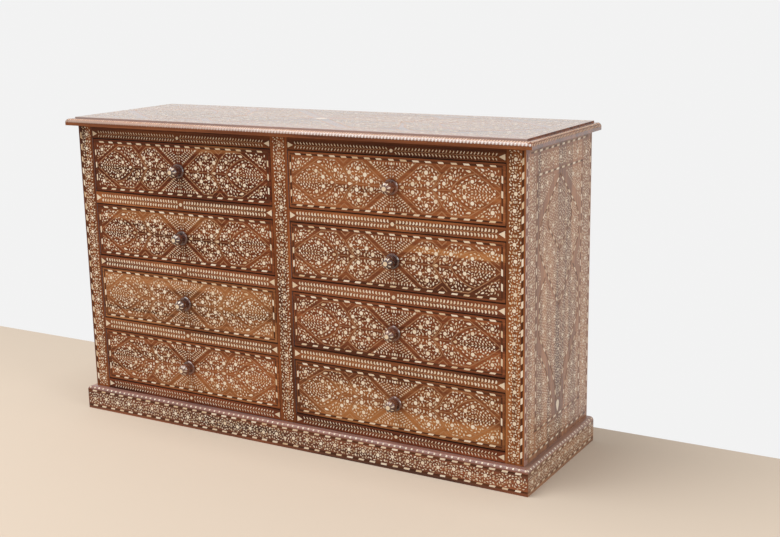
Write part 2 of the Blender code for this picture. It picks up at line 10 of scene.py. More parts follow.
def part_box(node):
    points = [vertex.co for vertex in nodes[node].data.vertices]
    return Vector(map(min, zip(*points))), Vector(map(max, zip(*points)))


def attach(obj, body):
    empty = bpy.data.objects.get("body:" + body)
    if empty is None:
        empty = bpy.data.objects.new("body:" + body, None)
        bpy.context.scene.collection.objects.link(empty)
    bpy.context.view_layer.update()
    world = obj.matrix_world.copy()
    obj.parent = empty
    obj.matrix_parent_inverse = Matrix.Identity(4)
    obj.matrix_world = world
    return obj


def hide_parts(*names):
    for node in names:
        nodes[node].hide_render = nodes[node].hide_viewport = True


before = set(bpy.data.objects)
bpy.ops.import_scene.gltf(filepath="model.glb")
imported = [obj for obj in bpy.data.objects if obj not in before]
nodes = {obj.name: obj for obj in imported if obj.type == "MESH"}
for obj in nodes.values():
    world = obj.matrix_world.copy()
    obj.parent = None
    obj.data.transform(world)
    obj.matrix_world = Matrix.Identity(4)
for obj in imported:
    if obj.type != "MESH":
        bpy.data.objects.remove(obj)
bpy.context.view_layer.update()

# The plinth: four hardwood boards on edge, mitred at the front corners, with a rounded upper arris.
# The three that show are polished and let in with a vine of bone between two dashed lines,
# and a row of bone dots runs along the arris.
scene = bpy.context.scene
MM = 0.001


class Tone:
    """A socket of a material's nodes. Sums on it add Math nodes, and node() adds any other node."""

    def __init__(self, tree, socket):
        self.tree = tree
        self.socket = socket

    def node(self, kind, settings, inputs, out=0):
        made = self.tree.nodes.new("ShaderNode" + kind)
        for name, value in settings.items():
            if name == "stops":
                ramp = made.color_ramp.elements
                while len(ramp) < len(value):
                    ramp.new(0.5)
                for stop, (place, colour) in zip(ramp, value):
                    stop.position = place
                    stop.color = colour
            else:
                setattr(made, name, value)
        for name, value in inputs.items():
            if isinstance(value, Tone):
                self.tree.links.new(value.socket, made.inputs[name])
            else:
                made.inputs[name].default_value = value
        return Tone(self.tree, made.outputs[out])

    def sum(self, operation, first, second=0.0):
        return self.node("Math", {"operation": operation}, {0: first, 1: second})

    def __add__(self, other):
        return self.sum("ADD", self, other)

    def __radd__(self, other):
        return self.sum("ADD", other, self)

    def __sub__(self, other):
        return self.sum("SUBTRACT", self, other)

    def __rsub__(self, other):
        return self.sum("SUBTRACT", other, self)

    def __mul__(self, other):
        return self.sum("MULTIPLY", self, other)

    def __rmul__(self, other):
        return self.sum("MULTIPLY", other, self)

    def __truediv__(self, other):
        return self.sum("DIVIDE", self, other)

    def __rtruediv__(self, other):
        return self.sum("DIVIDE", other, self)

    def __abs__(self):
        return self.sum("ABSOLUTE", self)

    def held(self):
        """The value kept between 0 and 1."""
        return self.node("Clamp", {}, {"Value": self})

    def blend(self, first, second):
        """From the first colour to the second as this value goes from 0 to 1."""
        settings = {"data_type": "RGBA"}
        return self.node("Mix", settings, {0: self, 6: first, 7: second}, out=2)


def finish(name, roughness, specular, coat=0.0):
    """A new material: its tree, its shader and the Object coordinates that its pattern reads."""
    made = bpy.data.materials.new(name)
    made.use_nodes = True
    tree = made.node_tree
    shader = tree.nodes["Principled BSDF"]
    shader.inputs["Roughness"].default_value = roughness
    shader.inputs["Specular IOR Level"].default_value = specular
    shader.inputs["Coat Weight"].default_value = coat
    shader.inputs["Coat Roughness"].default_value = 0.12
    place = Tone(tree, None).node("TexCoord", {}, {}, "Object")
    return made, tree, shader, place


GRAIN_TURNS = {
    "X": (0.0, 0.0, 0.0),
    "Y": (0.0, 0.0, -math.pi / 2),
    "Z": (0.0, math.pi / 2, 0.0),
}


def rgb(red, green, blue):
    """A colour given as it looks on a screen, 0 to 255, in the shader's own numbers."""
    parts = [c / 255 for c in (red, green, blue)]
    lit = [c / 12.92 if c < 0.04045 else ((c + 0.055) / 1.055) ** 2.4 for c in parts]
    return (*lit, 1.0)


# How far in from a piece's edges the painted shade of the gaps reaches, and how wide a plank seam
# is.
GAP_SHADE_REACH = 1.7 * MM
SEAM = 2.6 * MM


def wood(name, grain, shift, colours, gloss=0.38, specular=0.14, sapwood=(), coat=0.0, painted_sheen=0.0,
         sheen_axis=2, gap_shade=None, plank=0.0):
    """Hardwood with its fibres along one axis: broad figure, stripes, fibres and open pores.
    colours go from the dark stripes to the pale ones; sapwood gives pale streaks as
    (height, half width, left end, right end, strength); the sheen strength and its axis give a
    painted sheen, the faces square to that axis greyed as glare of the bright room; the edge box
    is that of a piece whose edges get painted shade of the gaps round it; plank is the height of
    the boards that a panel is glued up from."""
    made, tree, shader, place = finish(name, gloss, specular, coat)
    turned = {"Vector": place, "Rotation": GRAIN_TURNS[grain], "Location": shift}
    along = place.node("Mapping", {}, turned)
    across = place.node("SeparateXYZ", {}, {"Vector": place})
    height = Tone(tree, across.socket.node.outputs[2])
    if plank:
        row = height / plank
        number = row.sum("FLOOR", row)
        apart = number.node("CombineXYZ", {}, {0: number * 0.73, 2: number * 0.31})
        along = along.node("VectorMath", {"operation": "ADD"}, {0: along, 1: apart})

    def figure(length, width, detail, warp=0.0):
        drawn = {"Vector": along, "Scale": (1 / length, 1 / width, 1 / width)}
        drawn = along.node("Mapping", {}, drawn)
        look = {"Vector": drawn, "Scale": 1.0, "Detail": detail, "Distortion": warp}
        return drawn.node("TexNoise", {}, look)

    broad = figure(0.60, 0.045, 3.0, 0.4)
    stripe = figure(0.36, 0.0085, 4.0, 0.6)
    fibre = figure(0.045, 0.0012, 2.0)
    pore = figure(0.016, 0.0009, 1.0)
    value = broad * 0.62 + stripe * 0.42 + fibre * 0.16 - 0.10
    dark, body, warm, pale = (rgb(*colour) for colour in colours)
    stops = [(0.37, dark), (0.48, body), (0.56, warm), (0.67, pale)]
    colour = value.node("ValToRGB", {"stops": stops}, {"Fac": value})
    for level, half, left, right, strength in sapwood:
        off = abs(height - level + (broad - 0.5) * 0.06 + (stripe - 0.5) * 0.012)
        streak = ((1.2 - off / half) * 1.8).held()
        ends = ((across - left) / 0.09).held() * ((right - across) / 0.09).held()
        fleck = (0.55 + (fibre - 0.5) * 1.2).held()
        light = fleck.blend(rgb(158, 96, 52), rgb(190, 130, 76))
        colour = (streak * ends * strength).blend(colour, light)
    dip = ((pore - 0.60) / 0.10).held()
    colour = (dip * 0.55).blend(colour, dark)
    if plank:
        seam = 1 - (abs(row - number - 0.5) - 0.5 + SEAM / plank) * (plank / SEAM)
        colour = seam.held().blend(rgb(52, 30, 18), colour)
    # Painted shade: a piece's edges darkened to near black, as shade in the gaps round it.
    if gap_shade:
        middle, reach = 0.5 * (gap_shade[0] + gap_shade[1]), 0.5 * (gap_shade[1] - gap_shade[0])
        side = ((abs(across - middle.x) - reach.x + GAP_SHADE_REACH) / (0.5 * GAP_SHADE_REACH)).held()
        brink = ((abs(height - middle.z) - reach.z + GAP_SHADE_REACH) / (0.5 * GAP_SHADE_REACH)).held()
        colour = ((side + brink).held() * 0.8).blend(colour, rgb(34, 17, 10))
    # Painted sheen: faces square to the axis greyed towards a lilac grey, as glare of the bright
    # room.
    if painted_sheen:
        facing = Tone(tree, place.socket.node.outputs["Normal"])
        square = abs(facing.node("SeparateXYZ", {}, {"Vector": facing}, out=sheen_axis))
        sheen_mask = ((square - 0.12) / 0.4).held() * (0.8 + (fibre - 0.5) * 0.8)
        colour = (sheen_mask * painted_sheen).held().blend(colour, rgb(164, 138, 134))
    tree.links.new(colour.socket, shader.inputs["Base Color"])
    rough = gloss + (fibre - 0.5) * 0.18 + dip * 0.15
    tree.links.new(rough.socket, shader.inputs["Roughness"])
    relief = fibre * 0.5 - dip
    bump = {"Strength": 0.25, "Distance": 0.0003, "Height": relief}
    bump = relief.node("Bump", {}, bump)
    tree.links.new(bump.socket, shader.inputs["Normal"])
    return made


def dress(material, *names):
    """Gives CAD nodes their finish."""
    for name in names:
        for slot in nodes[name].material_slots:
            slot.material = material
        if not nodes[name].material_slots:
            nodes[name].data.materials.append(material)


ROSE = ((76, 38, 20), (120, 65, 33), (141, 79, 41), (166, 100, 55))
RUSSET = ((68, 32, 17), (109, 55, 30), (130, 68, 36), (154, 87, 48))
FADED = ((100, 64, 43), (136, 91, 61), (154, 105, 71), (172, 122, 84))

# The plinth's upward faces get a painted sheen of the bright room, stronger on the front board.
dress(wood("plinth_long_grain", "X", (0.3, 0.1, 0.2), RUSSET, 0.36, 0.2, coat=0.6, painted_sheen=0.5),
      "plinth_front")
dress(wood("plinth_side_grain", "Y", (0.7, 0.3, 0.4), FADED, 0.36, 0.5, coat=0.3, painted_sheen=0.3),
      "plinth_left", "plinth_right")


# The kinds of inlay: how fine the fleck is, and how far the chips stand proud, in millimetres.
INLAYS = {"bone_inlay": (420.0, 0.12), "dark_inlay": (300.0, 0.10), "line_inlay": (300.0, 0.06)}
inlay_of = {}


def inlay_finish(kind, name, fresh, aged, roughness, specular=0.3, coat=0.0):
    """The finish of let-in chips: each has a tone of its own, with a fine fleck over it."""
    made, tree, shader, place = finish(name, roughness, specular, coat)
    own = place.node("Attribute", {"attribute_name": "tone"}, {}, out=2)
    fleck = place.node("TexNoise", {}, {"Vector": place, "Scale": INLAYS[kind][0], "Detail": 2.0})
    age = (own + (fleck - 0.5) * 0.5).held()
    tree.links.new(age.blend(rgb(*fresh), rgb(*aged)).socket, shader.inputs["Base Color"])
    inlay_of[made.name] = kind
    return made


bone = inlay_finish("bone_inlay", "bone", (242, 230, 210), (208, 177, 137), 0.34)
dark_wood = inlay_finish("dark_inlay", "dark_dashes", (66, 36, 21), (98, 57, 34), 0.42, 0.12)
pale_line = inlay_finish("line_inlay", "pale_lines", (192, 146, 106), (160, 114, 78), 0.38, 0.15)
# On the ends of the case and plinth the bone and the dark dashes are paler and lower in contrast,
# as painted glare of the bright room.
side_bone = inlay_finish("bone_inlay", "glare_paled_bone", (228, 214, 194), (198, 174, 144), 0.36)
side_dark = inlay_finish("dark_inlay", "glare_paled_dashes", (98, 67, 49), (124, 87, 63), 0.42)

# Outlines of the chips: how many sides the circle they start from has, and how its point (a, b),
# with a along the chip and b across it, is drawn in.
OUTLINES = {
    "disc": (12, lambda a, b: (a, b)),
    "leaf": (8, lambda a, b: (a, b * abs(b) ** 0.6)),
    "drop": (10, lambda a, b: (a, 1.35 * b * (0.5 - 0.5 * a) ** 0.6)),
    "moon": (10, lambda a, b: (a, 1.5 * b - 0.5 if b > 0.0 else -0.5 - 0.1 * b)),
    "wedge": (3, lambda a, b: ((a - 0.25) / 0.75, b / 0.866)),
}


def page():
    """An empty page of chips, each of which will keep its own tone."""
    made = bmesh.new()
    made.verts.layers.float.new("tone")
    return made


def meshed(name, shape):
    """A finished bmesh as a mesh."""
    mesh = bpy.data.meshes.new(name)
    shape.to_mesh(mesh)
    shape.free()
    return mesh


def placed(name, data):
    """A new object in the scene."""
    made = bpy.data.objects.new(name, data)
    scene.collection.objects.link(made)
    return made


class Sheet:
    """Flat chips cut for one board, on small pages so that cutting stays quick."""

    def __init__(self):
        self.pages = [page()]

    def cut(self, operator, tone, shape, **sizes):
        """Cuts a chip: the operator makes its cells, and shape puts their corners in place."""
        if len(self.pages[-1].faces) > 80:
            self.pages.append(page())
        flat = self.pages[-1]
        made = operator(flat, **sizes)
        layer = flat.verts.layers.float["tone"]
        for vert in made["verts"]:
            u, v = shape(vert.co.x, vert.co.y)
            vert.co = (u * MM, v * MM, 0.0)
            vert[layer] = tone

    def bound(self):
        """All the pages as one."""
        whole = page()
        for leaf in self.pages:
            mesh = meshed("page", leaf)
            whole.from_mesh(mesh)
            bpy.data.meshes.remove(mesh)
        return whole


def stamp(flat, kind, u, v, turn, length, width, bend=0.0, tone=0.4):
    """Cuts one chip into the sheet: sizes in millimetres, turn in radians, tip at +turn."""
    sides, outline = OUTLINES[kind]
    c, s = math.cos(turn), math.sin(turn)

    def shape(x, y):
        a, b = outline(y, -x)
        p = 0.5 * length * a
        q = 0.5 * width * b + bend * length * (a * a - 0.4)
        return u + c * p - s * q, v + s * p + c * q

    flat.cut(bmesh.ops.create_circle, tone, shape, cap_ends=True, segments=sides, radius=1.0)


def strip(flat, path, width, tone=0.4):
    """Cuts one strip along a path of points in millimetres, mitred at its bends."""
    count = len(path) - 1

    def shape(x, y):
        at = min(count, max(0, round((x + 1) / 2 * count)))
        return beside(path, at, 0.5 * width if y > 0 else -0.5 * width)

    flat.cut(bmesh.ops.create_grid, tone, shape, x_segments=count, y_segments=1, size=1.0)


def beside(path, at, off):
    """The point that lies off to the left of a path's point, mitred between its two legs."""
    legs = []
    for k in (at - 1, at):
        if 0 <= k < len(path) - 1:
            du, dv = path[k + 1][0] - path[k][0], path[k + 1][1] - path[k][1]
            size = math.hypot(du, dv) or 1.0
            legs.append((-dv / size, du / size))
    first, last = legs[0], legs[-1]
    spread = max(0.35, 1 + first[0] * last[0] + first[1] * last[1])
    mu, mv = (first[0] + last[0]) / spread, (first[1] + last[1]) / spread
    return path[at][0] + off * mu, path[at][1] + off * mv


def alongside(path, off):
    """The path moved off to its left."""
    return [beside(path, at, off) for at in range(len(path))]


DARK_SHARE = 0.53
DASH_GAP = 0.3


def dashes(light, dark, path, width, pitch, lean, rng):
    """Fills a dashed line with dark wood and bone in turn, their ends cut on the slant."""
    for p, q in zip(path, path[1:]):
        size = math.dist(p, q)
        count = max(1, round(size / pitch - DARK_SHARE))
        step = size / (count + DARK_SHARE)
        du, dv = (q[0] - p[0]) / size, (q[1] - p[1]) / size
        joins = [(k // 2 + (DARK_SHARE if k % 2 else 0.0)) * step for k in range(2 * count + 2)]
        joins = [joins[0], *(j + rng.uniform(-0.03, 0.03) * step for j in joins[1:-1]), joins[-1]]
        for k in range(2 * count + 1):
            wide = width * rng.uniform(0.90, 1.06)
            start = joins[k]
            length = joins[k + 1] - start - DASH_GAP

            def shape(x, y):
                b = y * wide
                a = min(size, max(0.0, start + (x + 0.5) * length + lean * b))
                return p[0] + du * a - dv * b, p[1] + dv * a + du * b

            flat = light if k % 2 else dark
            flat.cut(bmesh.ops.create_grid, rng.uniform(0.1, 0.9), shape,
                     x_segments=1, y_segments=1, size=0.5)


def board(origin, across, up):
    """Lays flat chips on a plane board: across and up are its own two directions."""
    across, up = np.array(across, float), np.array(up, float)
    out = np.cross(across, up)
    base = np.array(origin, float)

    def lay(co):
        return base + co[:, :1] * across + co[:, 1:2] * up + co[:, 2:] * out

    return lay


def let_in(name, flat, lay, material, body="carcass", proud=None, depth=0.7):
    """Gives a sheet of flat chips their thickness, lays them in their board and rides them on it.
    The map puts each chip where it lies on the sheet."""
    slot = inlay_of[material.name]
    proud = INLAYS[slot][1] if proud is None else proud
    flat = flat.bound()
    grown = bmesh.ops.extrude_face_region(flat, geom=flat.faces[:])["geom"]
    tops = [g for g in grown if isinstance(g, bmesh.types.BMVert)]
    bmesh.ops.translate(flat, vec=(0.0, 0.0, depth * MM), verts=tops)
    bmesh.ops.translate(flat, vec=(0.0, 0.0, (proud - depth) * MM), verts=flat.verts[:])
    bmesh.ops.recalc_face_normals(flat, faces=flat.faces[:])
    mesh = meshed(name, flat)
    co = np.empty(len(mesh.vertices) * 3)
    mesh.vertices.foreach_get("co", co)
    co = co.reshape(-1, 3)
    corner = np.empty(len(mesh.loops), np.int32)
    mesh.loops.foreach_get("vertex_index", corner)
    low, high = co.min(0), co.max(0)
    spread = (co - low) / np.maximum(high - low, 1e-9)
    drawn = 0.002 + 0.996 * (spread[:, :2] * 0.998 + spread[:, 2:] * 0.002)
    layer = mesh.uv_layers.new(name="OFBake")
    layer.uv.foreach_set("vector", drawn[corner].astype(np.float32).ravel())
    mesh.vertices.foreach_set("co", lay(co).astype(np.float32).ravel())
    mesh.materials.append(material)
    piece = placed(name, mesh)
    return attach(piece, body)


def covers(chip):
    """The circles that a chip covers, to keep its neighbours off it."""
    kind, u, v, turn, length, width = chip[:6]
    if kind == "disc":
        return [(u, v, 0.5 * length)]
    reach = 0.5 * (length - 0.8 * width)
    c, s = math.cos(turn), math.sin(turn)
    return [(u + t * reach * c, v + t * reach * s, r * width) for t, r in
            ((-1.0, 0.26), (-0.5, 0.42), (0.0, 0.5), (0.5, 0.42), (1.0, 0.26))]


def inside(shape, u, v):
    """Whether a point is inside a closed outline."""
    found = False
    for (au, av), (bu, bv) in zip(shape, shape[1:] + shape[:1]):
        if (av > v) != (bv > v) and u < (bu - au) * (v - av) / (bv - av) + au:
            found = not found
    return found


FIRST_PETAL = 0.3
LARGEST_BUD = 9.0
# Steps that spread points evenly over a ground.
SPREAD_U, SPREAD_V = 0.7548776662, 0.5698402910


class Ground:
    """The open ground of a pattern: outlines that chips stay inside, and the chips laid so far.
    No chip crosses axis_u or axis_v, the lines that the pattern is mirrored in."""

    def __init__(self, shapes, axis_u=None, axis_v=None):
        self.shapes = shapes
        self.axis_u = axis_u
        self.axis_v = axis_v
        self.chips = []
        self.taken = np.full((64, 3), 1e6)
        self.count = 0

    def fits(self, chip, gap):
        spots = covers(chip)
        for u, v, r in spots:
            if self.axis_u is not None and u - r < self.axis_u + 0.5 * gap:
                return False
            if self.axis_v is not None and v - r < self.axis_v + 0.5 * gap:
                return False
            near = self.taken[: self.count]
            apart = np.hypot(near[:, 0] - u, near[:, 1] - v) - near[:, 2]
            if self.count and apart.min() < r + gap:
                return False
        return any(all(inside(shape, u, v) for u, v, r in spots) for shape in self.shapes)

    def lay(self, *chip):
        """Lays a chip where it is wanted, whatever is there."""
        self.chips.append(chip)
        for spot in covers(chip):
            if self.count == len(self.taken):
                more = np.full((len(self.taken), 3), 1e6)
                self.taken = np.concatenate([self.taken, more])
            self.taken[self.count] = spot
            self.count += 1

    def petals(self, count, ring, length, width, swirl, bend, gap):
        """A ring of curved petals round every floret so far, where there is room for them."""
        florets = [c for c in self.chips if c[0] == "disc" and c[4] > LARGEST_BUD]
        for order, (kind, u, v, turn, size, wide, *rest) in enumerate(florets):
            twist = 0.25 * swirl if order % 3 == 1 else swirl
            for k in range(count):
                at = FIRST_PETAL + turn + 2 * math.pi * k / count
                reach = 0.5 * size + ring
                pu, pv = u + reach * math.cos(at), v + reach * math.sin(at)
                chip = ("leaf", pu, pv, at + twist, length, width, bend)
                if self.fits(chip, gap):
                    self.lay(*chip)

    def grow(self, sizes, swirl, gap):
        """Fills what is left with leaves that turn round the nearest floret."""
        us = [u for shape in self.shapes for u, v in shape]
        vs = [v for shape in self.shapes for u, v in shape]
        low_u, low_v = min(us), min(vs)
        wide, high = max(us) - low_u, max(vs) - low_v
        hearts = np.array([c[1:3] for c in self.chips if c[0] == "disc"] or [(0.0, 0.0)])
        for kind, length, width, bend, per in sizes:
            for i in range(int(wide * high / per)):
                u = low_u + wide * ((0.5 + SPREAD_U * i) % 1)
                v = low_v + high * ((0.5 + SPREAD_V * i) % 1)
                if not any(inside(shape, u, v) for shape in self.shapes):
                    continue
                apart = hearts - (u, v)
                near = apart[np.argmin(np.hypot(apart[:, 0], apart[:, 1]))]
                base = math.atan2(-near[1], -near[0]) + swirl
                for more in (0.0, 0.7, -0.7, 1.5):
                    chip = (kind, u, v, base + more, length, width, bend)
                    if self.fits(chip, gap):
                        self.lay(*chip)
                        break


def set_chips(flat, chips, rng, flip_u=(1,), flip_v=(1,), shake=0.25):
    """Cuts laid chips into a sheet, with their mirror images, each a little off as by hand."""
    for fu in flip_u:
        for fv in flip_v:
            for kind, u, v, turn, length, width, *rest in chips:
                bend = (rest[0] if rest else 0.0) * fu * fv
                turn = math.atan2(fv * math.sin(turn), fu * math.cos(turn))
                tone = rng.uniform(0.05, 0.5) if kind == "disc" else rng.uniform(0.1, 0.9)
                size = rng.uniform(0.93, 1.05)
                stamp(
                    flat, kind,
                    fu * u + rng.uniform(-shake, shake), fv * v + rng.uniform(-shake, shake),
                    turn + rng.uniform(-0.09, 0.09) * (kind != "disc"),
                    length * size, width * size * rng.uniform(0.95, 1.05), bend, tone,
                )


def vine(length, width, pitch, disc, rng):
    """A run of florets in a band: the chips, and the thin stems that curl round the florets."""
    half = 0.5 * width
    ground = Ground([[(0.0, -half), (length, -half), (length, half), (0.0, half)]])
    count = round(length / pitch)
    step = length / count
    stems = []
    for k in range(count):
        u, side = (k + 0.5) * step, 1 if k % 2 else -1
        v = side * 0.05 * width
        ground.lay("disc", u, v, rng.uniform(0, 1), disc, disc)
        arc = [(u + 1.32 * disc * math.cos(a), v + 1.25 * disc * math.sin(a))
               for a in np.linspace(-0.5, 2.3, 9) * side]
        stems.append([(p, min(half, max(-half, q))) for p, q in arc])
        edge = u + 0.5 * step
        if k < count - 1:
            ground.lay("drop", edge - 1.5, side * (half - 3.6), side * 0.9, 8.4, 6.2, 0.0)
            ground.lay("leaf", edge, -side * (half - 3.2), side * 2.4, 8.6, 4.4, 0.12)
            for j in (-1, 0, 1):
                ground.lay("leaf", edge + 0.6 * abs(j), 4.6 * j, 0.0, 7.6, 3.1, 0.03 * j)
    ground.petals(7, 4.3, 7.2, 3.1, 1.0, bend=0.26, gap=0.8)
    ground.grow([("leaf", 7.0, 3.1, 0.24, 7.0), ("leaf", 5.2, 2.6, 0.20, 8.0)], 1.1, 2.4)
    return ground.chips, stems


STEM = 0.8
LEAN = 0.45
PLINTH_VINE, PLINTH_VINE_LEVEL = (35.0, 46.0, 10.8), 34.8


def lay_vine(light, lines, length, width, pitch, disc, rng, start, level):
    """Cuts a vine along a band, with its stems where there is a sheet for them."""
    chips, stems = vine(length, width, pitch, disc, rng)
    set_chips(light, [(c[0], c[1] + start, c[2] + level, *c[3:]) for c in chips], rng)
    for stem in stems if lines else ():
        strip(lines, [(u + start, v + level) for u, v in stem], STEM)


def plinth_band(name, lay, half, rng, middle, chips_look, dark_look):
    """A plinth board's face: a vine between two dashed lines, and facing wedges at its middle."""
    light, dark, lines = Sheet(), Sheet(), Sheet()
    for level in (58.5, 11.0):
        dashes(light, dark, [(-half, level), (half, level)], 5.2, 36.0, LEAN, rng)
    runs = ((-half + 4.0, -6.0), (6.0, half - 4.0)) if middle else ((-half + 4.0, half - 4.0),)
    for start, end in runs:
        lay_vine(light, lines, end - start, *PLINTH_VINE, rng, start, PLINTH_VINE_LEVEL)
    if middle:
        stamp(light, "wedge", 0.0, 47.2, -math.pi / 2, 8.5, 10.0, 0.0, 0.6)
        stamp(light, "wedge", 0.0, 25.5, -math.pi / 2, 14.0, 11.0, 0.0, 0.3)
    let_in(name + "_bone", light, lay, chips_look)
    let_in(name + "_dark", dark, lay, dark_look)
    let_in(name + "_stems", lines, lay, pale_line)


plinth_low, plinth_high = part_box("plinth_front")
PLINTH_TOP = plinth_high.z
PLINTH_HALF = plinth_high.x
PLINTH_FRONT = plinth_low.y
PLINTH_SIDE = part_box("plinth_right")[1].x
PLINTH_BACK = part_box("plinth_right")[1].y
ARRIS = 10.5 * MM
rng = random.Random(11)
lay = board((0.0, PLINTH_FRONT, 0.0), (1, 0, 0), (0, 0, 1))
plinth_band("plinth_front_inlay", lay, PLINTH_HALF / MM, rng, True, bone, dark_wood)
side_half = 0.5 * (PLINTH_BACK - PLINTH_FRONT) / MM
side_middle = 0.5 * (PLINTH_BACK + PLINTH_FRONT)
for side, sign in (("right", 1), ("left", -1)):
    lay = board((sign * PLINTH_SIDE, side_middle, 0.0), (0, sign, 0), (0, 0, 1))
    plinth_band(f"plinth_{side}_inlay", lay, side_half, rng, False, side_bone, side_dark)


def moulding(origin, along, outward, radius):
    """Lays flat chips up a board's edge, over its quarter round and on along the flat behind it."""
    along, outward = np.array(along, float), np.array(outward, float)
    base = np.array(origin, float)
    turn = radius * math.pi / 2

    def lay(co):
        climb = co[:, 1:2]
        angle = np.clip(climb / radius, 0.0, math.pi / 2)
        reach = radius + co[:, 2:]
        back = np.maximum(climb - turn, 0.0)
        below = np.minimum(climb, 0.0)
        upward = np.array((0.0, 0.0, 1.0))
        ring = outward * (reach * np.cos(angle) - back) + upward * (reach * np.sin(angle) + below)
        return base + co[:, :1] * along + ring

    return lay


def round_three_sides(half, side, front, back, radius, level):
    """Goes round a board's rounded edge: for each side half its length, and how chips are laid."""
    middle, half_depth = 0.5 * (back + front), 0.5 * (back - front) / MM
    out = side - radius
    return {
        "front": (half / MM, moulding((0, front + radius, level), (1, 0, 0), (0, -1, 0), radius)),
        "right": (half_depth, moulding((out, middle, level), (0, 1, 0), (1, 0, 0), radius)),
        "left": (half_depth, moulding((-out, middle, level), (0, -1, 0), (-1, 0, 0), radius)),
    }


DOT, DOT_PITCH, DOT_MARGIN = 5.6, 17.6, 8.0
DOT_CLIMB = math.radians(46) * ARRIS / MM
arris_runs = round_three_sides(PLINTH_HALF, PLINTH_SIDE, PLINTH_FRONT, PLINTH_BACK, ARRIS,
                               PLINTH_TOP - ARRIS)
for side, (half, lay) in arris_runs.items():
    flat = Sheet()
    run = 2 * (half - DOT_MARGIN)
    count = round(run / DOT_PITCH)
    for k in range(count + 1):
        u = DOT_MARGIN - half + run * k / count
        stamp(flat, "disc", u + rng.uniform(-0.8, 0.8), DOT_CLIMB + rng.uniform(-0.5, 0.5), 0.0,
              DOT * rng.uniform(0.9, 1.05), DOT, 0.0, rng.uniform(0.0, 0.5))
    let_in("plinth_dots_" + side, flat, lay, bone)

# The case sides: one wide board each, tongued into the front stiles and housed over the drawer
# boards. A frame of vine bands and dashed lines goes round a field with a tall strapwork hexagon
# over another, edged with dashes and filled with florets and leaves.
dress(wood("side_grain_right", "Z", (0.2, 0.5, 0.3), FADED, 0.38, 0.7), "side_panel_right")
dress(wood("side_grain_left", "Z", (1.2, 0.9, 0.8), FADED, 0.38, 0.7), "side_panel_left")

CASE_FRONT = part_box("stile_right")[0].y
CASE_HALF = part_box("stile_right")[1].x
CASE_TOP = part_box("stile_right")[1].z
SIDE_MIDDLE = 219.0
SIDE_DASH = 5.0
SIDE_DISC = 9.2
SIDE_VINE_DISC = 10.6
SIDE_FOOT = -795.0

# Half of the side's field, as (distance from its middle line, depth below the case top).
side_hexagon = [(0, 90), (122, 200), (134, 228), (134, 262), (122, 290), (0, 440)]
side_lozenge = [(79, 158), (79, 216), (0, 292)]
side_lower = [(93, 346), (129, 389), (132, 494), (79, 559), (43, 610), (22, 655), (11, 702)]
side_foot = [(126, 545), (82, 600), (57, 652), (35, 712)]
side_fields = [
    [(34, 84), (141, 84), (141, 178)],
    [(0, 101), (73, 166), (73, 212), (0, 282)],
    [(85, 166), (118, 203), (129, 230), (129, 260), (118, 287), (0, 431),
     (0, 301), (85, 221)],
    [(141, 306), (141, 366), (121, 336)],
    [(0, 455), (91, 354), (124, 392), (127, 491), (74, 556), (38, 606),
     (16, 652), (5, 695), (0, 697)],
    [(141, 540), (141, 735), (40, 735), (62, 655), (88, 603)],
]
side_florets = [(0, 135), (40, 168), (0, 206), (45, 218), (0, 258),
                (102, 230), (102, 271), (61, 268), (37.5, 291), (84, 298),
                (58.5, 324), (16.5, 318), (32, 354), (0, 390),
                (88, 388), (52, 424), (104, 420), (96, 455), (30, 466),
                (64, 468), (104, 488), (58, 505), (0, 500), (28, 530),
                (66, 542), (0, 562), (33, 587), (0, 620),
                (120, 108), (86, 102), (124, 142),
                (122, 580), (126, 625), (98, 630), (120, 670), (84, 676),
                (60, 712), (100, 712), (130, 714)]
ground = Ground(side_fields, axis_u=0.0)
middle_chips = []
for u, t in side_florets:
    if u == 0.0:
        middle_chips.append(("disc", u, t, 0.0, SIDE_DISC, SIDE_DISC))
        ground.taken[ground.count] = (u, t, 0.5 * SIDE_DISC)
        ground.count += 1
    else:
        ground.lay("disc", u, t, 0.013 * t, SIDE_DISC, SIDE_DISC)
ground.petals(7, 4.3, 7.6, 3.0, 0.9, bend=0.16, gap=1.0)
ground.grow([("leaf", 6.6, 2.8, 0.14, 10.0), ("leaf", 4.8, 2.3, 0.12, 12.0)], 1.1, 2.1)
side_chips = ground.chips


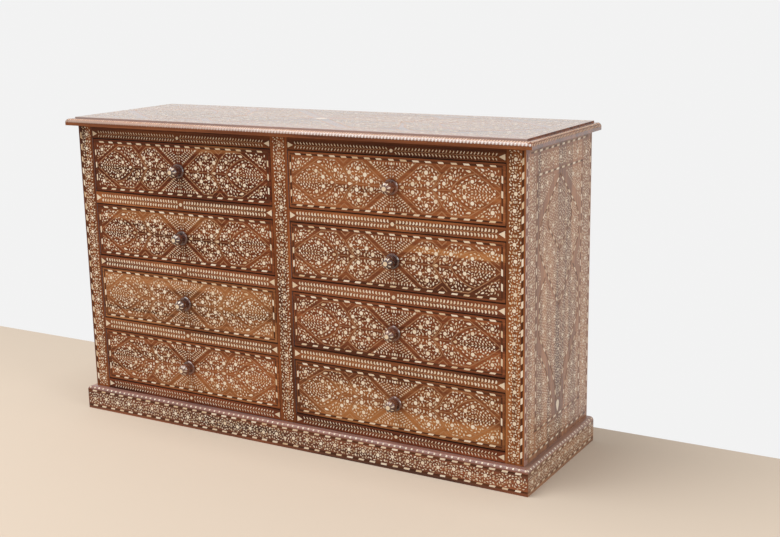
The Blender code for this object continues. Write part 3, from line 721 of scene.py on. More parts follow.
def side_inlay(name, lay, rng):
    """The inlay of one side, in distances from its middle line and heights from the case top."""
    light, dark, lines = Sheet(), Sheet(), Sheet()
    half = SIDE_MIDDLE
    down = [(c[0], c[1], -c[2], -c[3], *c[4:]) for c in side_chips]
    set_chips(light, down, rng, flip_u=(1, -1))
    set_chips(light, [(c[0], c[1], -c[2], *c[3:]) for c in middle_chips], rng)
    stamp(light, "drop", 0.0, -721.0, -math.pi / 2, 34.0, 20.0, 0.0, 0.15)
    for fu in (1, -1):
        for path in (side_hexagon, side_lozenge, side_lower, side_foot):
            turned = [(fu * u, -t) for u, t in path]
            dashes(light, dark, turned, SIDE_DASH, 31.0, 0.4 * fu, rng)
            for off in (-4.2, 4.2):
                strip(lines, alongside(turned, off), 0.7)
        for u in (half - 8.0, half - 69.5):
            low, high = (-805.0, -14.0) if u > 180 else (-745.0, -75.0)
            dashes(light, dark, [(fu * u, low), (fu * u, high)], 5.2, 37.0, LEAN * fu, rng)
        chips, stems = vine(770.0, 45.0, 59.0, SIDE_VINE_DISC, rng)
        middle = half - 38.5
        set_chips(light, [(c[0], fu * (middle + c[2]), SIDE_FOOT + c[1],
                           math.atan2(math.cos(c[3]), fu * math.sin(c[3])), *c[4:6],
                           -fu * (c[6] if len(c) > 6 else 0.0)) for c in chips], rng)
        for stem in stems:
            strip(lines, [(fu * (middle + v), SIDE_FOOT + u) for u, v in stem], STEM)
    for level, reach in ((-14.7, half - 30.0), (-75.0, half - 62.0), (-745.0, half - 62.0),
                         (-804.0, half - 14.0)):
        dashes(light, dark, [(-reach, level), (reach, level)], 5.2, 37.0, LEAN, rng)
    for level in (-45.0, -774.5):
        reach = half - 73.0
        lay_vine(light, lines, 2 * reach, 41.0, 59.0, SIDE_VINE_DISC, rng, -reach, level)
    let_in(name + "_bone", light, lay, side_bone)
    let_in(name + "_dark", dark, lay, side_dark)
    let_in(name + "_lines", lines, lay, pale_line)


side_centre = CASE_FRONT + SIDE_MIDDLE * MM
rng = random.Random(23)
for side, sign in (("right", 1), ("left", -1)):
    lay = board((sign * CASE_HALF, side_centre, CASE_TOP), (0, sign, 0), (0, 0, 1))
    side_inlay(f"side_{side}_inlay", lay, rng)

# Inside the case: the partition, the boards that the drawers run on, the back and the plinth's own
# back and bearer. Plain planed softer wood, never polished, fixed in housings and rebates.
PLAIN = ((126, 84, 52), (164, 116, 76), (182, 134, 90), (200, 156, 110))
inner = wood("planed_inner_long", "X", (0.9, 0.4, 0.1), PLAIN, 0.62, 0.3)
inner_deep = wood("planed_inner_deep", "Y", (0.5, 0.2, 0.6), PLAIN, 0.62, 0.3)
dress(inner, "plinth_back")
dress(wood("planed_back_boards", "X", (0.2, 0.4, 0.7), PLAIN, 0.62, 0.3, plank=0.1415),
      "back_panel")
dress(inner_deep, "centre_partition", "plinth_bearer", "bottom_board_left", "bottom_board_right")
for side in ("left", "right"):
    for row in (1, 2, 3):
        dress(inner_deep, f"drawer_board_{side}_{row}")

# The front frame's stiles: three uprights tenoned to the rails, polished.
# Each has a vine of florets up its face; the outer two also have a dashed line along the corner.
STILE_TONES = {
    "stile_left": ROSE,
    "stile_centre": ROSE,
    "stile_right": ((112, 63, 33), (143, 83, 44), (161, 98, 53), (180, 117, 68)),
}
for order, (name, tones) in enumerate(STILE_TONES.items()):
    shift = (0.1 + 0.5 * order, 0.2 + order, 0.2)
    # Each stile's faces square to the sides get a painted sheen of the bright room.
    dress(wood(name + "_grain", "Z", shift, tones, painted_sheen=0.75, sheen_axis=0), name)


def stile_inlay(name, middle, width, dash, rng):
    """One stile's vine, and where it has one the dashed line, from the plinth up."""
    light, lines = Sheet(), Sheet()
    tall = (CASE_TOP - PLINTH_TOP) / MM
    lay = board((0.0, CASE_FRONT, PLINTH_TOP), (0, 0, 1), (-1, 0, 0))
    lay_vine(light, lines, tall - 12.0, width, 42.0, 10.2, rng, 6.0, -middle)
    if dash is not None:
        dark = Sheet()
        lean = -0.75 if dash > 0 else 0.75
        dashes(light, dark, [(4.0, -dash), (tall - 4.0, -dash)], 5.8, 36.2, lean, rng)
        let_in(name + "_dark", dark, lay, dark_wood)
    let_in(name + "_bone", light, lay, bone)
    let_in(name + "_stems", lines, lay, pale_line)


rng = random.Random(37)
outer = CASE_HALF / MM
stile_inlay("stile_left_inlay", -(outer - 28.5), 32.0, -(outer - 7.6), rng)
stile_inlay("stile_centre_inlay", 0.0, 37.0, None, rng)
stile_inlay("stile_right_inlay", outer - 28.5, 32.0, outer - 7.6, rng)

# The rails between the drawers: five long bars crossing the centre stile, polished.
# Each bay of a rail has two laurel branches that grow from a bone disc to a wedge at either end.
RAIL_TONES = {
    # The top rail's tones are darker, as painted shade under the top's overhang.
    "top_rail": ((62, 29, 14), (100, 52, 25), (119, 65, 31), (142, 82, 41)),
    "drawer_rail_1": ((81, 43, 25), (127, 72, 41), (148, 87, 49), (173, 111, 65)),
    "drawer_rail_2": ((76, 38, 24), (118, 65, 39), (138, 79, 47), (160, 100, 60)),
    "drawer_rail_3": ((82, 44, 24), (128, 74, 42), (148, 88, 50), (172, 112, 66)),
    "bottom_rail": ((73, 34, 20), (119, 60, 35), (139, 72, 42), (161, 92, 55)),
}
BAY_MIDDLE = 353.75
BAY_HALF = 326.25
LAUREL_LEAVES = 30
rng = random.Random(41)
for order, (name, tones) in enumerate(RAIL_TONES.items()):
    low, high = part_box(name)
    shift = (0.37 * order, 0.2, 0.31 * order)
    # A rail's edges get painted shade of the gaps beside the drawers.
    dress(wood(name + "_grain", "X", shift, tones, gap_shade=(low, high)), name)
    wide = name.startswith("drawer")
    size = 1.0 if wide else 0.86
    moon = 7.6 if wide else 4.2
    lean = 0.28 if wide else 0.55
    # The top rail's bone is darker too, as painted shade under the top's overhang.
    age = 0.4 if name == "top_rail" else 0.2
    level = 0.5 * (low.z + high.z) - (5.0 * MM if name == "top_rail" else 0.3 * MM)
    for side, middle in (("left", -BAY_MIDDLE), ("right", BAY_MIDDLE)):
        light, lines = Sheet(), Sheet()
        stamp(light, "disc", 0.0, 0.0, 0.0, 11.0 * size, 11.0 * size, 0.0, 0.5)
        for fu in (1, -1):
            base = 0.0 if fu < 0 else math.pi
            stamp(light, "wedge", fu * (BAY_HALF - 12.0), 0.0, base, 17.5, 18.5 * size, 0.0,
                  rng.uniform(0.3, 0.7))
            for k in range(LAUREL_LEAVES):
                u = 12.5 + (BAY_HALF - 41.0) * k / (LAUREL_LEAVES - 1)
                for fv in (1, -1):
                    turn = math.atan2(-fu * size, -lean * fv)
                    stamp(light, "moon",
                          fu * (u + 1.0) + rng.uniform(-0.5, 0.5),
                          fv * 7.0 * size + rng.uniform(-0.3, 0.3),
                          turn + rng.uniform(-0.14, 0.14), 9.6 * size * rng.uniform(0.92, 1.05),
                          moon * rng.uniform(0.88, 1.1), 0.05, age + rng.uniform(0.0, 0.5))
            wave = [(fu * (5.0 + 7.3 * k), 0.5 * math.sin(1.9 * k + order)) for k in range(41)]
            strip(lines, wave, 0.9)
        lay = board((middle * MM, CASE_FRONT, level), (1, 0, 0), (0, 0, 1))
        let_in(f"{name}_{side}_bone", light, lay, bone)
        let_in(f"{name}_{side}_stem", lines, lay, pale_line)

# The top: boards glued to one wide panel, with a low fillet, a deep quarter round and a shelf
# worked round the front and ends. Two rows of bone chips follow the moulding, and strapwork filled
# with florets and leaves covers the raised field, whose edge is eased.
top_low, top_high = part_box("top_board")
OVOLO = 10.8 * MM
FIELD_INSET = 21.0
FIELD_RISE = 4.4 * MM
FIELD_EASE = 1.2 * MM
TOP_COAT_IOR = 1.6
shelf_z = top_high.z - FIELD_RISE
curve_z = shelf_z - OVOLO
top_half = top_high.x / MM
top_front, top_back = top_low.y, top_high.y

UMBER = ((70, 36, 20), (108, 59, 34), (127, 72, 41), (150, 92, 54))
top_grain = wood("top_grain", "X", (0.4, 0.8, 0.5), UMBER, 0.36, 0.2)
# The front and field are polished bright above the fillet, the ends only on it, and on the front
# the curve and step are painted pale, a painted reflection of the bright room.
tree = top_grain.node_tree
shader = tree.nodes["Principled BSDF"]
shader.inputs["Coat IOR"].default_value = TOP_COAT_IOR
place = Tone(tree, tree.nodes["Texture Coordinate"].outputs["Object"])
height = place.node("SeparateXYZ", {}, {"Vector": place}, out=2)
facing = Tone(tree, tree.nodes["Texture Coordinate"].outputs["Normal"])
endward = abs(facing.node("SeparateXYZ", {}, {"Vector": facing}))
backward = facing.node("SeparateXYZ", {}, {"Vector": facing}, out=1)
above = ((height - curve_z) / (2 * MM)).held()
polish = abs(above - ((endward - 0.4) / 0.3).held())
tree.links.new(polish.socket, shader.inputs["Coat Weight"])
step = ((height - shelf_z - 0.6 * MM) / (0.4 * MM)).held()
tone_mix = ((-0.5 - backward) / 0.4).held() * above * (0.46 + 0.19 * step)
plain = Tone(tree, shader.inputs["Base Color"].links[0].from_socket)
painted_glare_colour = step.blend(rgb(212, 186, 176), rgb(184, 162, 154))
tree.links.new(tone_mix.blend(plain, painted_glare_colour).socket, shader.inputs["Base Color"])
worn_bone = inlay_finish("bone_inlay", "worn_bone", (216, 188, 164), (180, 142, 114), 0.42, 0.2)
edge_bone = inlay_finish("bone_inlay", "edge_bone", (214, 206, 202), (160, 134, 115), 0.32,
                         coat=0.3)

shaped = bmesh.new()
board_low, board_high = Vector(top_low), Vector((top_high.x, top_back, shelf_z))
bmesh.ops.create_cube(
    shaped, size=1.0,
    matrix=Matrix.LocRotScale(0.5 * (board_low + board_high), None, board_high - board_low),
)


def worked_edges(level):
    """The front and end edges that lie at a level."""
    return [e for e in shaped.edges if all(abs(v.co.z - level) < 0.01 * MM for v in e.verts)
            and min(v.co.y for v in e.verts) < top_back - MM]


rounded = bmesh.ops.bevel(shaped, geom=worked_edges(shelf_z), offset=OVOLO, offset_type="OFFSET",
                          affect="EDGES", segments=10, profile=0.5, material=-1)
for face in rounded["faces"]:
    face.smooth = True
inset = FIELD_INSET * MM
for point, across in (((top_low.x + inset, 0, 0), (1, 0, 0)),
                      ((top_high.x - inset, 0, 0), (1, 0, 0)),
                      ((0, top_front + inset, 0), (0, 1, 0))):
    whole = shaped.verts[:] + shaped.edges[:] + shaped.faces[:]
    bmesh.ops.bisect_plane(shaped, geom=whole, plane_co=point, plane_no=across)
shaped.normal_update()
fields = [f for f in shaped.faces if f.normal.z > 0.99 and abs(f.calc_center_median().x) < 0.5 * MM
          and f.calc_center_median().y > top_front + inset]
for field in bmesh.ops.extrude_discrete_faces(shaped, faces=fields)["faces"]:
    bmesh.ops.translate(shaped, vec=(0.0, 0.0, FIELD_RISE), verts=field.verts)
bmesh.ops.bevel(shaped, geom=worked_edges(top_high.z), offset=FIELD_EASE, offset_type="OFFSET",
                affect="EDGES", segments=3, profile=0.5, material=-1)
bmesh.ops.recalc_face_normals(shaped, faces=shaped.faces[:])
moulded_top = placed("moulded_top", meshed("moulded_top", shaped))
moulded_top.data.materials.append(top_grain)
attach(moulded_top, "carcass")
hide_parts("top_board")


def bent_chip(flat, u, v, turn, length, width, tone, point=0.7):
    """Cuts a chip in cells small enough to follow a rounded board."""
    c, s = math.cos(turn), math.sin(turn)

    def shape(a, b):
        p = 0.5 * length * a
        q = 0.5 * width * b * max(0.06, 1 - a * a) ** point
        return u + c * p - s * q, v + s * p + c * q

    flat.cut(bmesh.ops.create_grid, tone, shape, x_segments=6, y_segments=2, size=1.0)


rng = random.Random(53)
# The two rows: how far up the moulding, how far apart, and how far in from the front corners.
BEADS, LEAVES = (3.3, 9.8, 0.0), (11.2, 7.6, 6.0)
edge_runs = round_three_sides(top_high.x, top_high.x, top_front, top_back, OVOLO, curve_z)
for side, (half, lay) in edge_runs.items():
    beads, leaves = Sheet(), Sheet()
    for level, pitch, inset in (BEADS, LEAVES):
        start = -half + 5.0 + (inset if side != "left" else 0.0)
        end = half - 5.0 - (inset if side != "right" else 0.0)
        count = round((end - start) / pitch)
        for k in range(count + 1):
            u = start + (end - start) * k / count
            if inset:
                bent_chip(leaves, u, level + rng.uniform(-0.3, 0.3),
                          0.95 + rng.uniform(-0.08, 0.08), 8.6, 3.8, rng.uniform(0.3, 1.0))
            else:
                # The front beads are darker towards the left end.
                tone_mix = 0.35 - 0.75 * u / top_half if side == "front" else 0.45
                bent_chip(beads, u, level + rng.uniform(-0.3, 0.3), 1.35, 7.0, 5.2,
                          min(1.0, max(0.0, tone_mix) + rng.uniform(0.0, 0.2)), 0.5)
    let_in("top_edge_" + side + "_beads", beads, lay, edge_bone if side == "front" else worn_bone)
    let_in("top_edge_" + side + "_leaves", leaves, lay, worn_bone)

# A quarter of the strapwork on a drawer front, in millimetres from the knob. The top repeats it
# larger.
fan_edge = [(1, 6), (73, 64.6)]
diamond = [(14, 0), (56, 34.6), (88, 60.5), (117, 60.5), (140, 42.5), (115.5, 0)]
hexagon = [(120, 0), (134.5, 15), (149, 38.5), (160, 49), (174, 60.5), (221, 60.5),
           (269, 30), (309.5, 0)]
lozenge_edge = [(171.5, 0), (178, 10.3), (188, 22), (199, 30.5), (212, 38.2),
                (224, 42.6), (240, 46)]
ring = [(120, 0), (134.5, 15), (149, 38.5), (160, 49), (174, 60.5), (221, 60.5),
        (236, 51), (222, 45.8), (210.5, 41.6), (197, 33.6), (185.5, 24.8), (175, 12.5),
        (167.5, 0)]
lozenge = [(175.5, 0), (181, 8), (190.5, 19), (201, 27), (213, 34.6), (224, 39.2),
           (240, 43), (252, 39), (268, 28), (294, 9), (305, 0)]
corner = [(239, 62.5), (307, 62.5), (307, 16)]
notch = [(131, 65), (145.5, 52.5), (160, 65)]
quarter_florets = [(61.5, 10.9), (80.4, 26.1), (101.1, 42.6), (106.5, 14.8), (127.8, 30.4),
                   (152.2, 17.8), (171.1, 33.7), (210.2, 13), (232, 27.8), (288, 47.4)]

GROW_U, GROW_V = 2.24, 2.66


def larger(path):
    return [(u * GROW_U, v * GROW_V) for u, v in path]


fan = [(0.0, 16.0), (70.0, 64.0), (0.0, 64.0)]
ground = Ground([larger(p) for p in (fan, diamond, ring, lozenge, corner)], 0.0, 0.0)
ground.lay("disc", 9.0, 9.0, 0.0, 24.0, 24.0)
for u, v in quarter_florets:
    ground.lay("disc", u * GROW_U, v * GROW_V, 0.1 * u, 12.0, 12.0)
ground.grow([("disc", 11.0, 11.0, 0.0, 90.0)], 0.0, 17.0)
ground.petals(7, 4.3, 7.6, 3.0, 0.9, bend=0.16, gap=1.0)
ground.grow([("leaf", 6.6, 2.8, 0.14, 12.0), ("leaf", 4.8, 2.3, 0.12, 14.0)], 1.1, 2.1)
light, lines = Sheet(), Sheet()
set_chips(light, ground.chips[1:], rng, (1, -1), (1, -1))
stamp(light, "disc", 0.0, 0.0, 0.0, 34.0, 34.0, 0.0, 0.2)
for fu in (1, -1):
    for fv in (1, -1):
        for path in (fan_edge, diamond, hexagon, lozenge_edge, notch):
            turned = [(fu * u, fv * v) for u, v in larger(path)]
            for off in (1.4, 4.4):
                strip(lines, alongside(turned, off * fu * fv), 0.9)
field_u = top_half - FIELD_INSET
field_v = 0.5 * ((top_back - top_front) / MM - FIELD_INSET)
BORDER_WIDTH = 38.0
for sign in (1, -1):
    level = sign * (field_v - 4.0 - 0.5 * BORDER_WIDTH)
    lay_vine(light, None, 2 * field_u - 8.0, BORDER_WIDTH, 46.0, 11.0, rng, 4.0 - field_u, level)
    chips, stems = vine(2 * (field_v - BORDER_WIDTH - 8.0), BORDER_WIDTH, 46.0, 11.0, rng)
    level = sign * (field_u - 4.0 - 0.5 * BORDER_WIDTH)
    set_chips(light, [(c[0], level - c[2], c[1] - field_v + BORDER_WIDTH + 8.0, c[3] + math.pi / 2,
                       *c[4:]) for c in chips], rng)
field_y = 0.5 * (top_front + FIELD_INSET * MM + top_back)
lay = board((0.0, field_y, top_high.z), (1, 0, 0), (0, 1, 0))
field_bone = inlay_finish("bone_inlay", "field_bone", (208, 190, 167), (178, 148, 118), 0.30,
                          coat=0.7)
let_in("top_field_bone", light, lay, field_bone)
let_in("top_field_lines", lines, lay, pale_line)

# The drawer boxes: plain planed sides, back and bottom, never polished. The sides are dovetailed
# into the fronts, and the bottoms are let into grooves.
box_wood = wood("drawer_box_grain", "Y", (0.3, 0.6, 0.9), PLAIN, 0.58, 0.3)
floor_wood = wood("drawer_bottom_grain", "X", (0.1, 0.7, 0.4), PLAIN, 0.60, 0.3)
for side in ("left", "right"):
    for row in (1, 2, 3, 4):
        dress(box_wood, f"drawer_{side}_{row}_box")
        dress(floor_wood, f"drawer_{side}_{row}_bottom")

# The drawer fronts: solid polished boards, each cut from different wood, with pale sapwood left in.
# Straps of plain wood edged with double pale lines divide the inlay: a fan over and under the knob,
# a diamond and a long hexagon on each side, and a floret in each corner, in a dashed border.
FRONTS = {
    "left_1": (((66, 29, 14), (92, 42, 20), (111, 53, 27), (134, 70, 37)),
               ((0.842, 0.010, -0.34, -0.06, 0.5),)),
    "left_2": (((72, 33, 16), (106, 52, 26), (125, 65, 33), (147, 84, 46)),
               ((0.630, 0.018, -0.66, -0.20, 0.45),)),
    "left_3": (((90, 50, 27), (136, 82, 46), (154, 98, 58), (175, 118, 74)),
               ((0.40, 0.045, -0.30, -0.02, 0.55),)),
    "left_4": (((83, 41, 21), (129, 70, 38), (147, 83, 46), (168, 103, 59)),
               ((0.13, 0.03, -0.50, -0.06, 0.4),)),
    "right_1": (((81, 42, 23), (127, 71, 40), (145, 84, 48), (166, 103, 61)),
                ((0.80, 0.030, 0.04, 0.34, 0.3),)),
    "right_2": (((84, 44, 26), (118, 64, 37), (137, 78, 44), (158, 97, 58)),
                ((0.614, 0.010, 0.36, 0.72, 0.95),)),
    "right_3": (((80, 40, 23), (116, 61, 35), (135, 74, 42), (156, 92, 54)), ()),
    "right_4": (((70, 37, 21), (113, 62, 34), (132, 77, 43), (157, 99, 56)),
                ((0.137, 0.030, 0.06, 0.72, 0.85), (0.20, 0.012, 0.04, 0.34, 0.5))),
}
BORDER_LEFT, BORDER_RIGHT, BORDER_V = -317.0, 314.4, 69.8
# The left half is drawn a little longer than the right one.
HALVES = (1, -1.011)

hearts = [("drop", 29.8, 0, math.pi, 12.5, 8.4), ("drop", 126.2, 0, math.pi, 13.6, 8.2),
          ("drop", 181.3, 0, math.pi, 12.5, 8.8), ("disc", 292.4, 0, 0, 6.6, 6.6)]
ground = Ground([diamond, ring, lozenge, corner], None, 0)
for heart in hearts:
    ground.lay(*heart)
ground.chips.clear()
for k, (u, v) in enumerate(quarter_florets):
    size = 11.4 if k < 5 else 10.6
    ground.lay("disc", u, v, 0.4 * k, size, size)
for chip in (
    ("leaf", 76.5, 8.3, 1.57, 9, 4.4, 0.12), ("leaf", 86.5, 8.3, 1.57, 9.5, 4.6, 0.12),
    ("leaf", 122.4, 16.5, 0.9, 8, 4.4, 0.10), ("leaf", 119, 49.5, 1.66, 11, 4.6, 0.06),
    ("leaf", 84.3, 45.2, 0.6, 8.5, 4.6, 0), ("leaf", 46, 20.6, 0.62, 6.6, 3.2, 0.05),
    ("leaf", 54, 27.2, 0.62, 6.6, 3.2, 0.05), ("leaf", 64.5, 35.4, 0.62, 6.6, 3.2, 0.05),
    ("leaf", 139.1, 8.3, 1.4, 9.8, 5, 0.10), ("leaf", 173.9, 19.4, 1.66, 10, 4.2, 0.06),
    ("drop", 184.8, 49.1, 1.05, 10, 5.6, 0), ("leaf", 194.6, 53.6, 1.3, 7.5, 3.6, 0.1),
    ("leaf", 199.6, 45.4, 0.96, 7.2, 3.4, 0.1), ("leaf", 205.8, 54, 1.4, 7.5, 3.6, 0.1),
    ("drop", 220.5, 53, 2.97, 16, 6.6, 0), ("leaf", 192.6, 8.6, 0.35, 8.5, 4.4, 0.1),
    ("leaf", 197.5, 16.6, 0.5, 8.5, 4.4, 0.1), ("leaf", 204.5, 24.2, 0.6, 8.5, 4.2, 0.1),
    ("leaf", 216, 31.2, 0.5, 8.5, 4.2, 0.1), ("leaf", 228, 38, 0.3, 7.5, 3.6, 0.1),
    ("wedge", 252, 30.4, 3.5, 7.6, 6.6), ("drop", 259.8, 58.9, 2.7, 11.5, 5.6, 0),
    ("leaf", 271.5, 58.2, -0.2, 6.2, 3.1, 0.1), ("leaf", 270.5, 50.2, -0.7, 6.2, 3.1, 0.1),
    ("leaf", 304, 58, 1.57, 7, 3.4, 0.1), ("drop", 301.5, 35, 1.8, 8.4, 5.6, 0),
    ("leaf", 305.4, 26.2, 1.8, 6, 3.2, 0),
):
    ground.lay(*chip)
# The spray of leaves and buds at the hexagon's outer end.
for u, v in ((255.4, 16.1), (269.1, 17), (280.4, 12.6)):
    ground.lay("disc", u, v, 0, 5.2, 5.2)
for u, v, turn in ((241.5, 4, 2.2), (245, 11.5, 2), (247.5, 18.5, 1.9), (251.5, 4.2, 2.2),
                   (254, 9.6, 2), (261, 4.4, 2.1), (263.5, 10.6, 1.9), (270.5, 4.4, 2.1),
                   (273, 10.4, 1.9), (279.6, 5, 2.2), (286.6, 6.6, 2.3), (262, 21, 0.4)):
    ground.lay("leaf", u, v, turn, 7, 3.5, 0.08)
ground.petals(6, 4.6, 8.2, 3.3, 1.0, bend=0.26, gap=1.0)
ground.grow([("leaf", 7.8, 3.3, 0.24, 5.0), ("leaf", 5.8, 2.7, 0.20, 6.0)], 1.1, 3.0)
quarter = ground.chips
# The fan: an upright row at its base, rows of leaves across the strap, and a stem with small
# leaves.
for k in range(6):
    quarter.append(("leaf", 7.4 + 8.7 * k, 60.2, 1.57 + 0.05 * k, 7.4, 3.6, 0.0))
quarter.append(("drop", 60.6, 59.6, 3.8, 11.5, 5.2, 0.0))
slope = math.atan2(fan_edge[1][1] - fan_edge[0][1], fan_edge[1][0] - fan_edge[0][0])
for row in range(5):
    for k in range(12):
        step = 15.0 + 7.0 * k + 3.5 * (row % 2)
        off = 4.2 + 8.8 * row
        u = fan_edge[0][0] + step * math.cos(slope) - off * math.sin(slope)
        v = fan_edge[0][1] + step * math.sin(slope) + off * math.cos(slope)
        if u > 8.5 and v < 54.5 and math.hypot(u, v) > 26.0:
            quarter.append(("leaf", u, v, slope + 1.95, 7.2, 3.3, 0.16))
for k in range(4):
    quarter.append(("leaf", 4.0, 27.0 + 7.8 * k, 1.1, 6.0, 2.7, 0.1))
fan_heads = [("disc", 0.0, 59.6, 0.0, 7.4, 7.4)]
for order, (name, (tones, sapwood)) in enumerate(FRONTS.items()):
    rng = random.Random(100 + order)
    node = f"drawer_{name}_front"
    body = f"drawer_{name}"
    shift = (0.53 * order, 0.17 * order, 0.29 * order)
    low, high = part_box(node)
    # A front's edges get painted shade of the gaps round the drawer.
    dress(wood(node + "_grain", "X", shift, tones, sapwood=sapwood, gap_shade=(low, high)), node)
    middle = 0.5 * (low + high)
    light, dark, lines = Sheet(), Sheet(), Sheet()
    set_chips(light, quarter, rng, HALVES, (1, -1))
    set_chips(light, hearts, rng, HALVES)
    set_chips(light, fan_heads, rng, (1,), (1, -1))
    for fv in (1, -1):
        level, side = fv * BORDER_V, BORDER_RIGHT if fv > 0 else BORDER_LEFT
        dashes(light, dark, [(BORDER_LEFT - 2.4, level), (BORDER_RIGHT + 2.4, level)],
               4.8, 36.5, -0.7 * fv, rng)
        dashes(light, dark, [(side, -BORDER_V + 3.2), (side, BORDER_V - 3.2)],
               4.8, 37.0, 0.4 * fv, rng)
    for fu in HALVES:
        for fv in (1, -1):
            for path in (fan_edge, diamond, hexagon, lozenge_edge, notch, corner[::2]):
                turned = [(fu * u, fv * v) for u, v in path]
                for off in (0.7, 2.3):
                    beside_it = alongside(turned, off * fu * fv)
                    strip(lines, beside_it, 0.85, rng.uniform(0.1, 0.7))
            for k, (u, v) in enumerate(quarter_florets):
                curl = [(fu * (u + 8.0 * math.cos(a)), fv * (v + 8.0 * math.sin(a)))
                        for a in np.linspace(0.9 * k, 0.9 * k + 3.4, 9)]
                strip(lines, curl, 0.75, rng.uniform(0.1, 0.7))
        for start, end in ((40.0, 118.0), (134.0, 172.0), (190.0, 288.0)):
            strip(lines, [(fu * start, 0.0), (fu * end, 0.0)], 0.9)
        strip(lines, [(0.0, math.copysign(26.0, fu)), (0.0, math.copysign(54.0, fu))], 0.9)
    lay = board((middle.x, low.y, middle.z), (1, 0, 0), (0, 0, 1))
    let_in(body + "_bone", light, lay, bone, body, 0.14)
    let_in(body + "_dark", dark, lay, dark_wood, body, 0.08)
    let_in(body + "_lines", lines, lay, pale_line, body)

# The knobs: turned from dark hardwood, polished, and glued through the fronts.
# A bone button closes the tip, with a ring of bone petals let into the ball behind it.
KNOB = ((36, 16, 11), (66, 32, 21), (82, 42, 28), (102, 57, 39))
BROWN_KNOB = ((52, 25, 15), (92, 50, 31), (109, 61, 39), (130, 78, 52))
knob_wood = wood("knob_grain", "Y", (0.2, 0.2, 0.2), KNOB, 0.26, 0.2, coat=1.0)
brown_knob_wood = wood("brown_knob_grain", "Y", (0.7, 0.4, 0.9), BROWN_KNOB, 0.26, 0.2, coat=1.0)
KNOB_COAT_IOR = 1.75
for turned in (knob_wood, brown_knob_wood):
    turned.node_tree.nodes["Principled BSDF"].inputs["Coat IOR"].default_value = KNOB_COAT_IOR
polished_bone = inlay_finish("bone_inlay", "polished_bone", (250, 242, 228), (228, 204, 172), 0.28,
                             coat=0.7)
DARK_KNOBS = ("left_1", "left_2", "right_2")
BALL = 17.5 * MM
TIP = 6.5 * MM

for order, name in enumerate(FRONTS):
    rng = random.Random(200 + order)
    body = f"drawer_{name}"
    dress(knob_wood if name in DARK_KNOBS else brown_knob_wood, body + "_knob")
    low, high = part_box(body + "_knob")
    centre = Vector((0.5 * (low.x + high.x), low.y + math.sqrt(BALL**2 - TIP**2),
                     0.5 * (low.z + high.z)))
    flat = Sheet()
    stamp(flat, "disc", 0.0, 0.0, 0.0, 1.96 * TIP / MM, 1.96 * TIP / MM, 0.0, 1.0)
    spot = np.array((centre.x, low.y, centre.z))
    let_in(body + "_knob_button", flat, board(spot, (1, 0, 0), (0, 0, 1)), polished_bone,
           body, 0.25, 0.9)
    flat = Sheet()
    first = rng.uniform(0.0, 0.7)
    for k in range(8):
        bent_chip(flat, 45.0 * (k + first), 47.0, math.pi / 2, 34.0, 13.0, rng.uniform(0.6, 1.0))

    def wrap(co, centre=np.array(centre)):
        """Lays petals on the ball: first come the degrees round it, then the degrees back."""
        round_it = np.radians(co[:, :1] / MM)
        back = np.radians(co[:, 1:2] / MM)
        reach = BALL + co[:, 2:]
        out = np.array((0.0, -1.0, 0.0)) * np.cos(back)
        side = np.concatenate([np.cos(round_it), 0 * round_it, np.sin(round_it)], 1)
        return centre + reach * (out + side * np.sin(back))

    let_in(body + "_knob_petals", flat, wrap, polished_bone, body)

# The floor, the light and the camera: a plain pale floor that ends just behind the case, a wide
# soft ceiling light over the front, and an even white room.
FLOOR_BACK, FLOOR_REACH = 0.34, 9.0
flat = bmesh.new()
bmesh.ops.create_grid(flat, x_segments=1, y_segments=1, size=FLOOR_REACH)
bmesh.ops.translate(flat, vec=(0.0, FLOOR_BACK - FLOOR_REACH, 0.0), verts=flat.verts[:])
floor = placed("floor", meshed("floor", flat))
made, tree, shader, place = finish("pale_floor", 0.9, 0.1)
shader.inputs["Base Color"].default_value = rgb(201, 186, 169)
floor.data.materials.append(made)

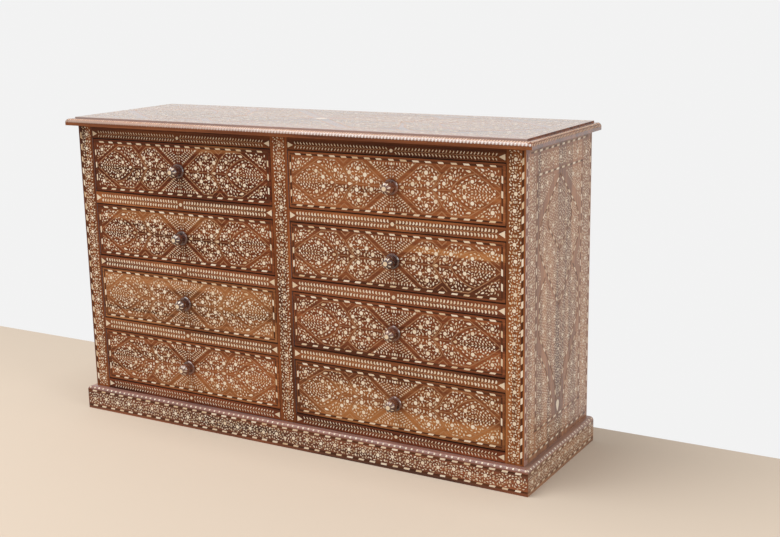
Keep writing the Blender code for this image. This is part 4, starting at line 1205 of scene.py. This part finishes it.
world = bpy.data.worlds.new("white_room")
scene.world = world
world.use_nodes = True
tree = world.node_tree
backdrop = tree.nodes["Background"]
backdrop.inputs["Color"].default_value = (1.0, 1.0, 1.0, 1.0)
ROOM_LIGHT, ROOM_SEEN = 0.55, 0.89
camera_ray = Tone(tree, None).node("LightPath", {}, {}, "Is Camera Ray")
rays = camera_ray.socket.node.outputs
seen = camera_ray + Tone(tree, rays["Is Glossy Ray"]) + Tone(tree, rays["Is Transmission Ray"])
strength = seen.held() * (ROOM_SEEN - ROOM_LIGHT) + ROOM_LIGHT
tree.links.new(strength.socket, backdrop.inputs["Strength"])


def soft_light(name, place, aim, size, watts):
    """A square soft light at a place, turned to a point."""
    lamp = bpy.data.lights.new(name, "AREA")
    lamp.size = size
    lamp.energy = watts
    lamp_object = placed(name, lamp)
    place = Vector(place)
    turn = (Vector(aim) - place).to_track_quat("-Z", "Y").to_matrix().to_4x4()
    lamp_object.matrix_world = Matrix.Translation(place) @ turn


soft_light("ceiling_light", (-1.2, -1.4, 4.2), (-1.2, -1.4, 0.0), 3.4, 190.0)
soft_light("side_light", (3.2, -1.0, 1.9), (0.75, 0.0, 0.5), 1.6, 35.0)

IMAGE_WIDTH = 780
FOCAL_PIXELS = 1222.7
SENSOR = 36.0
CAMERA_PLACE = (1.9316, -2.9053, 1.2737)
AZIMUTH, ELEVATION, ROLL = math.radians(30.385), math.radians(12.903), math.radians(-1.029)
back = Vector((math.sin(AZIMUTH) * math.cos(ELEVATION), -math.cos(AZIMUTH) * math.cos(ELEVATION),
               math.sin(ELEVATION)))
right = (-back).cross(Vector((0, 0, 1))).normalized()
up = right.cross(-back)
rolled_right = math.cos(ROLL) * right + math.sin(ROLL) * up
rolled_up = math.cos(ROLL) * up - math.sin(ROLL) * right
camera = bpy.data.cameras.new("camera")
camera.sensor_fit = "HORIZONTAL"
camera.sensor_width = SENSOR
camera.lens = FOCAL_PIXELS * SENSOR / IMAGE_WIDTH
camera_object = placed("camera", camera)
turned = Matrix((rolled_right, rolled_up, back)).transposed().to_4x4()
camera_object.matrix_world = Matrix.Translation(CAMERA_PLACE) @ turned
scene.camera = camera_object
scene.view_settings.view_transform = "Standard"
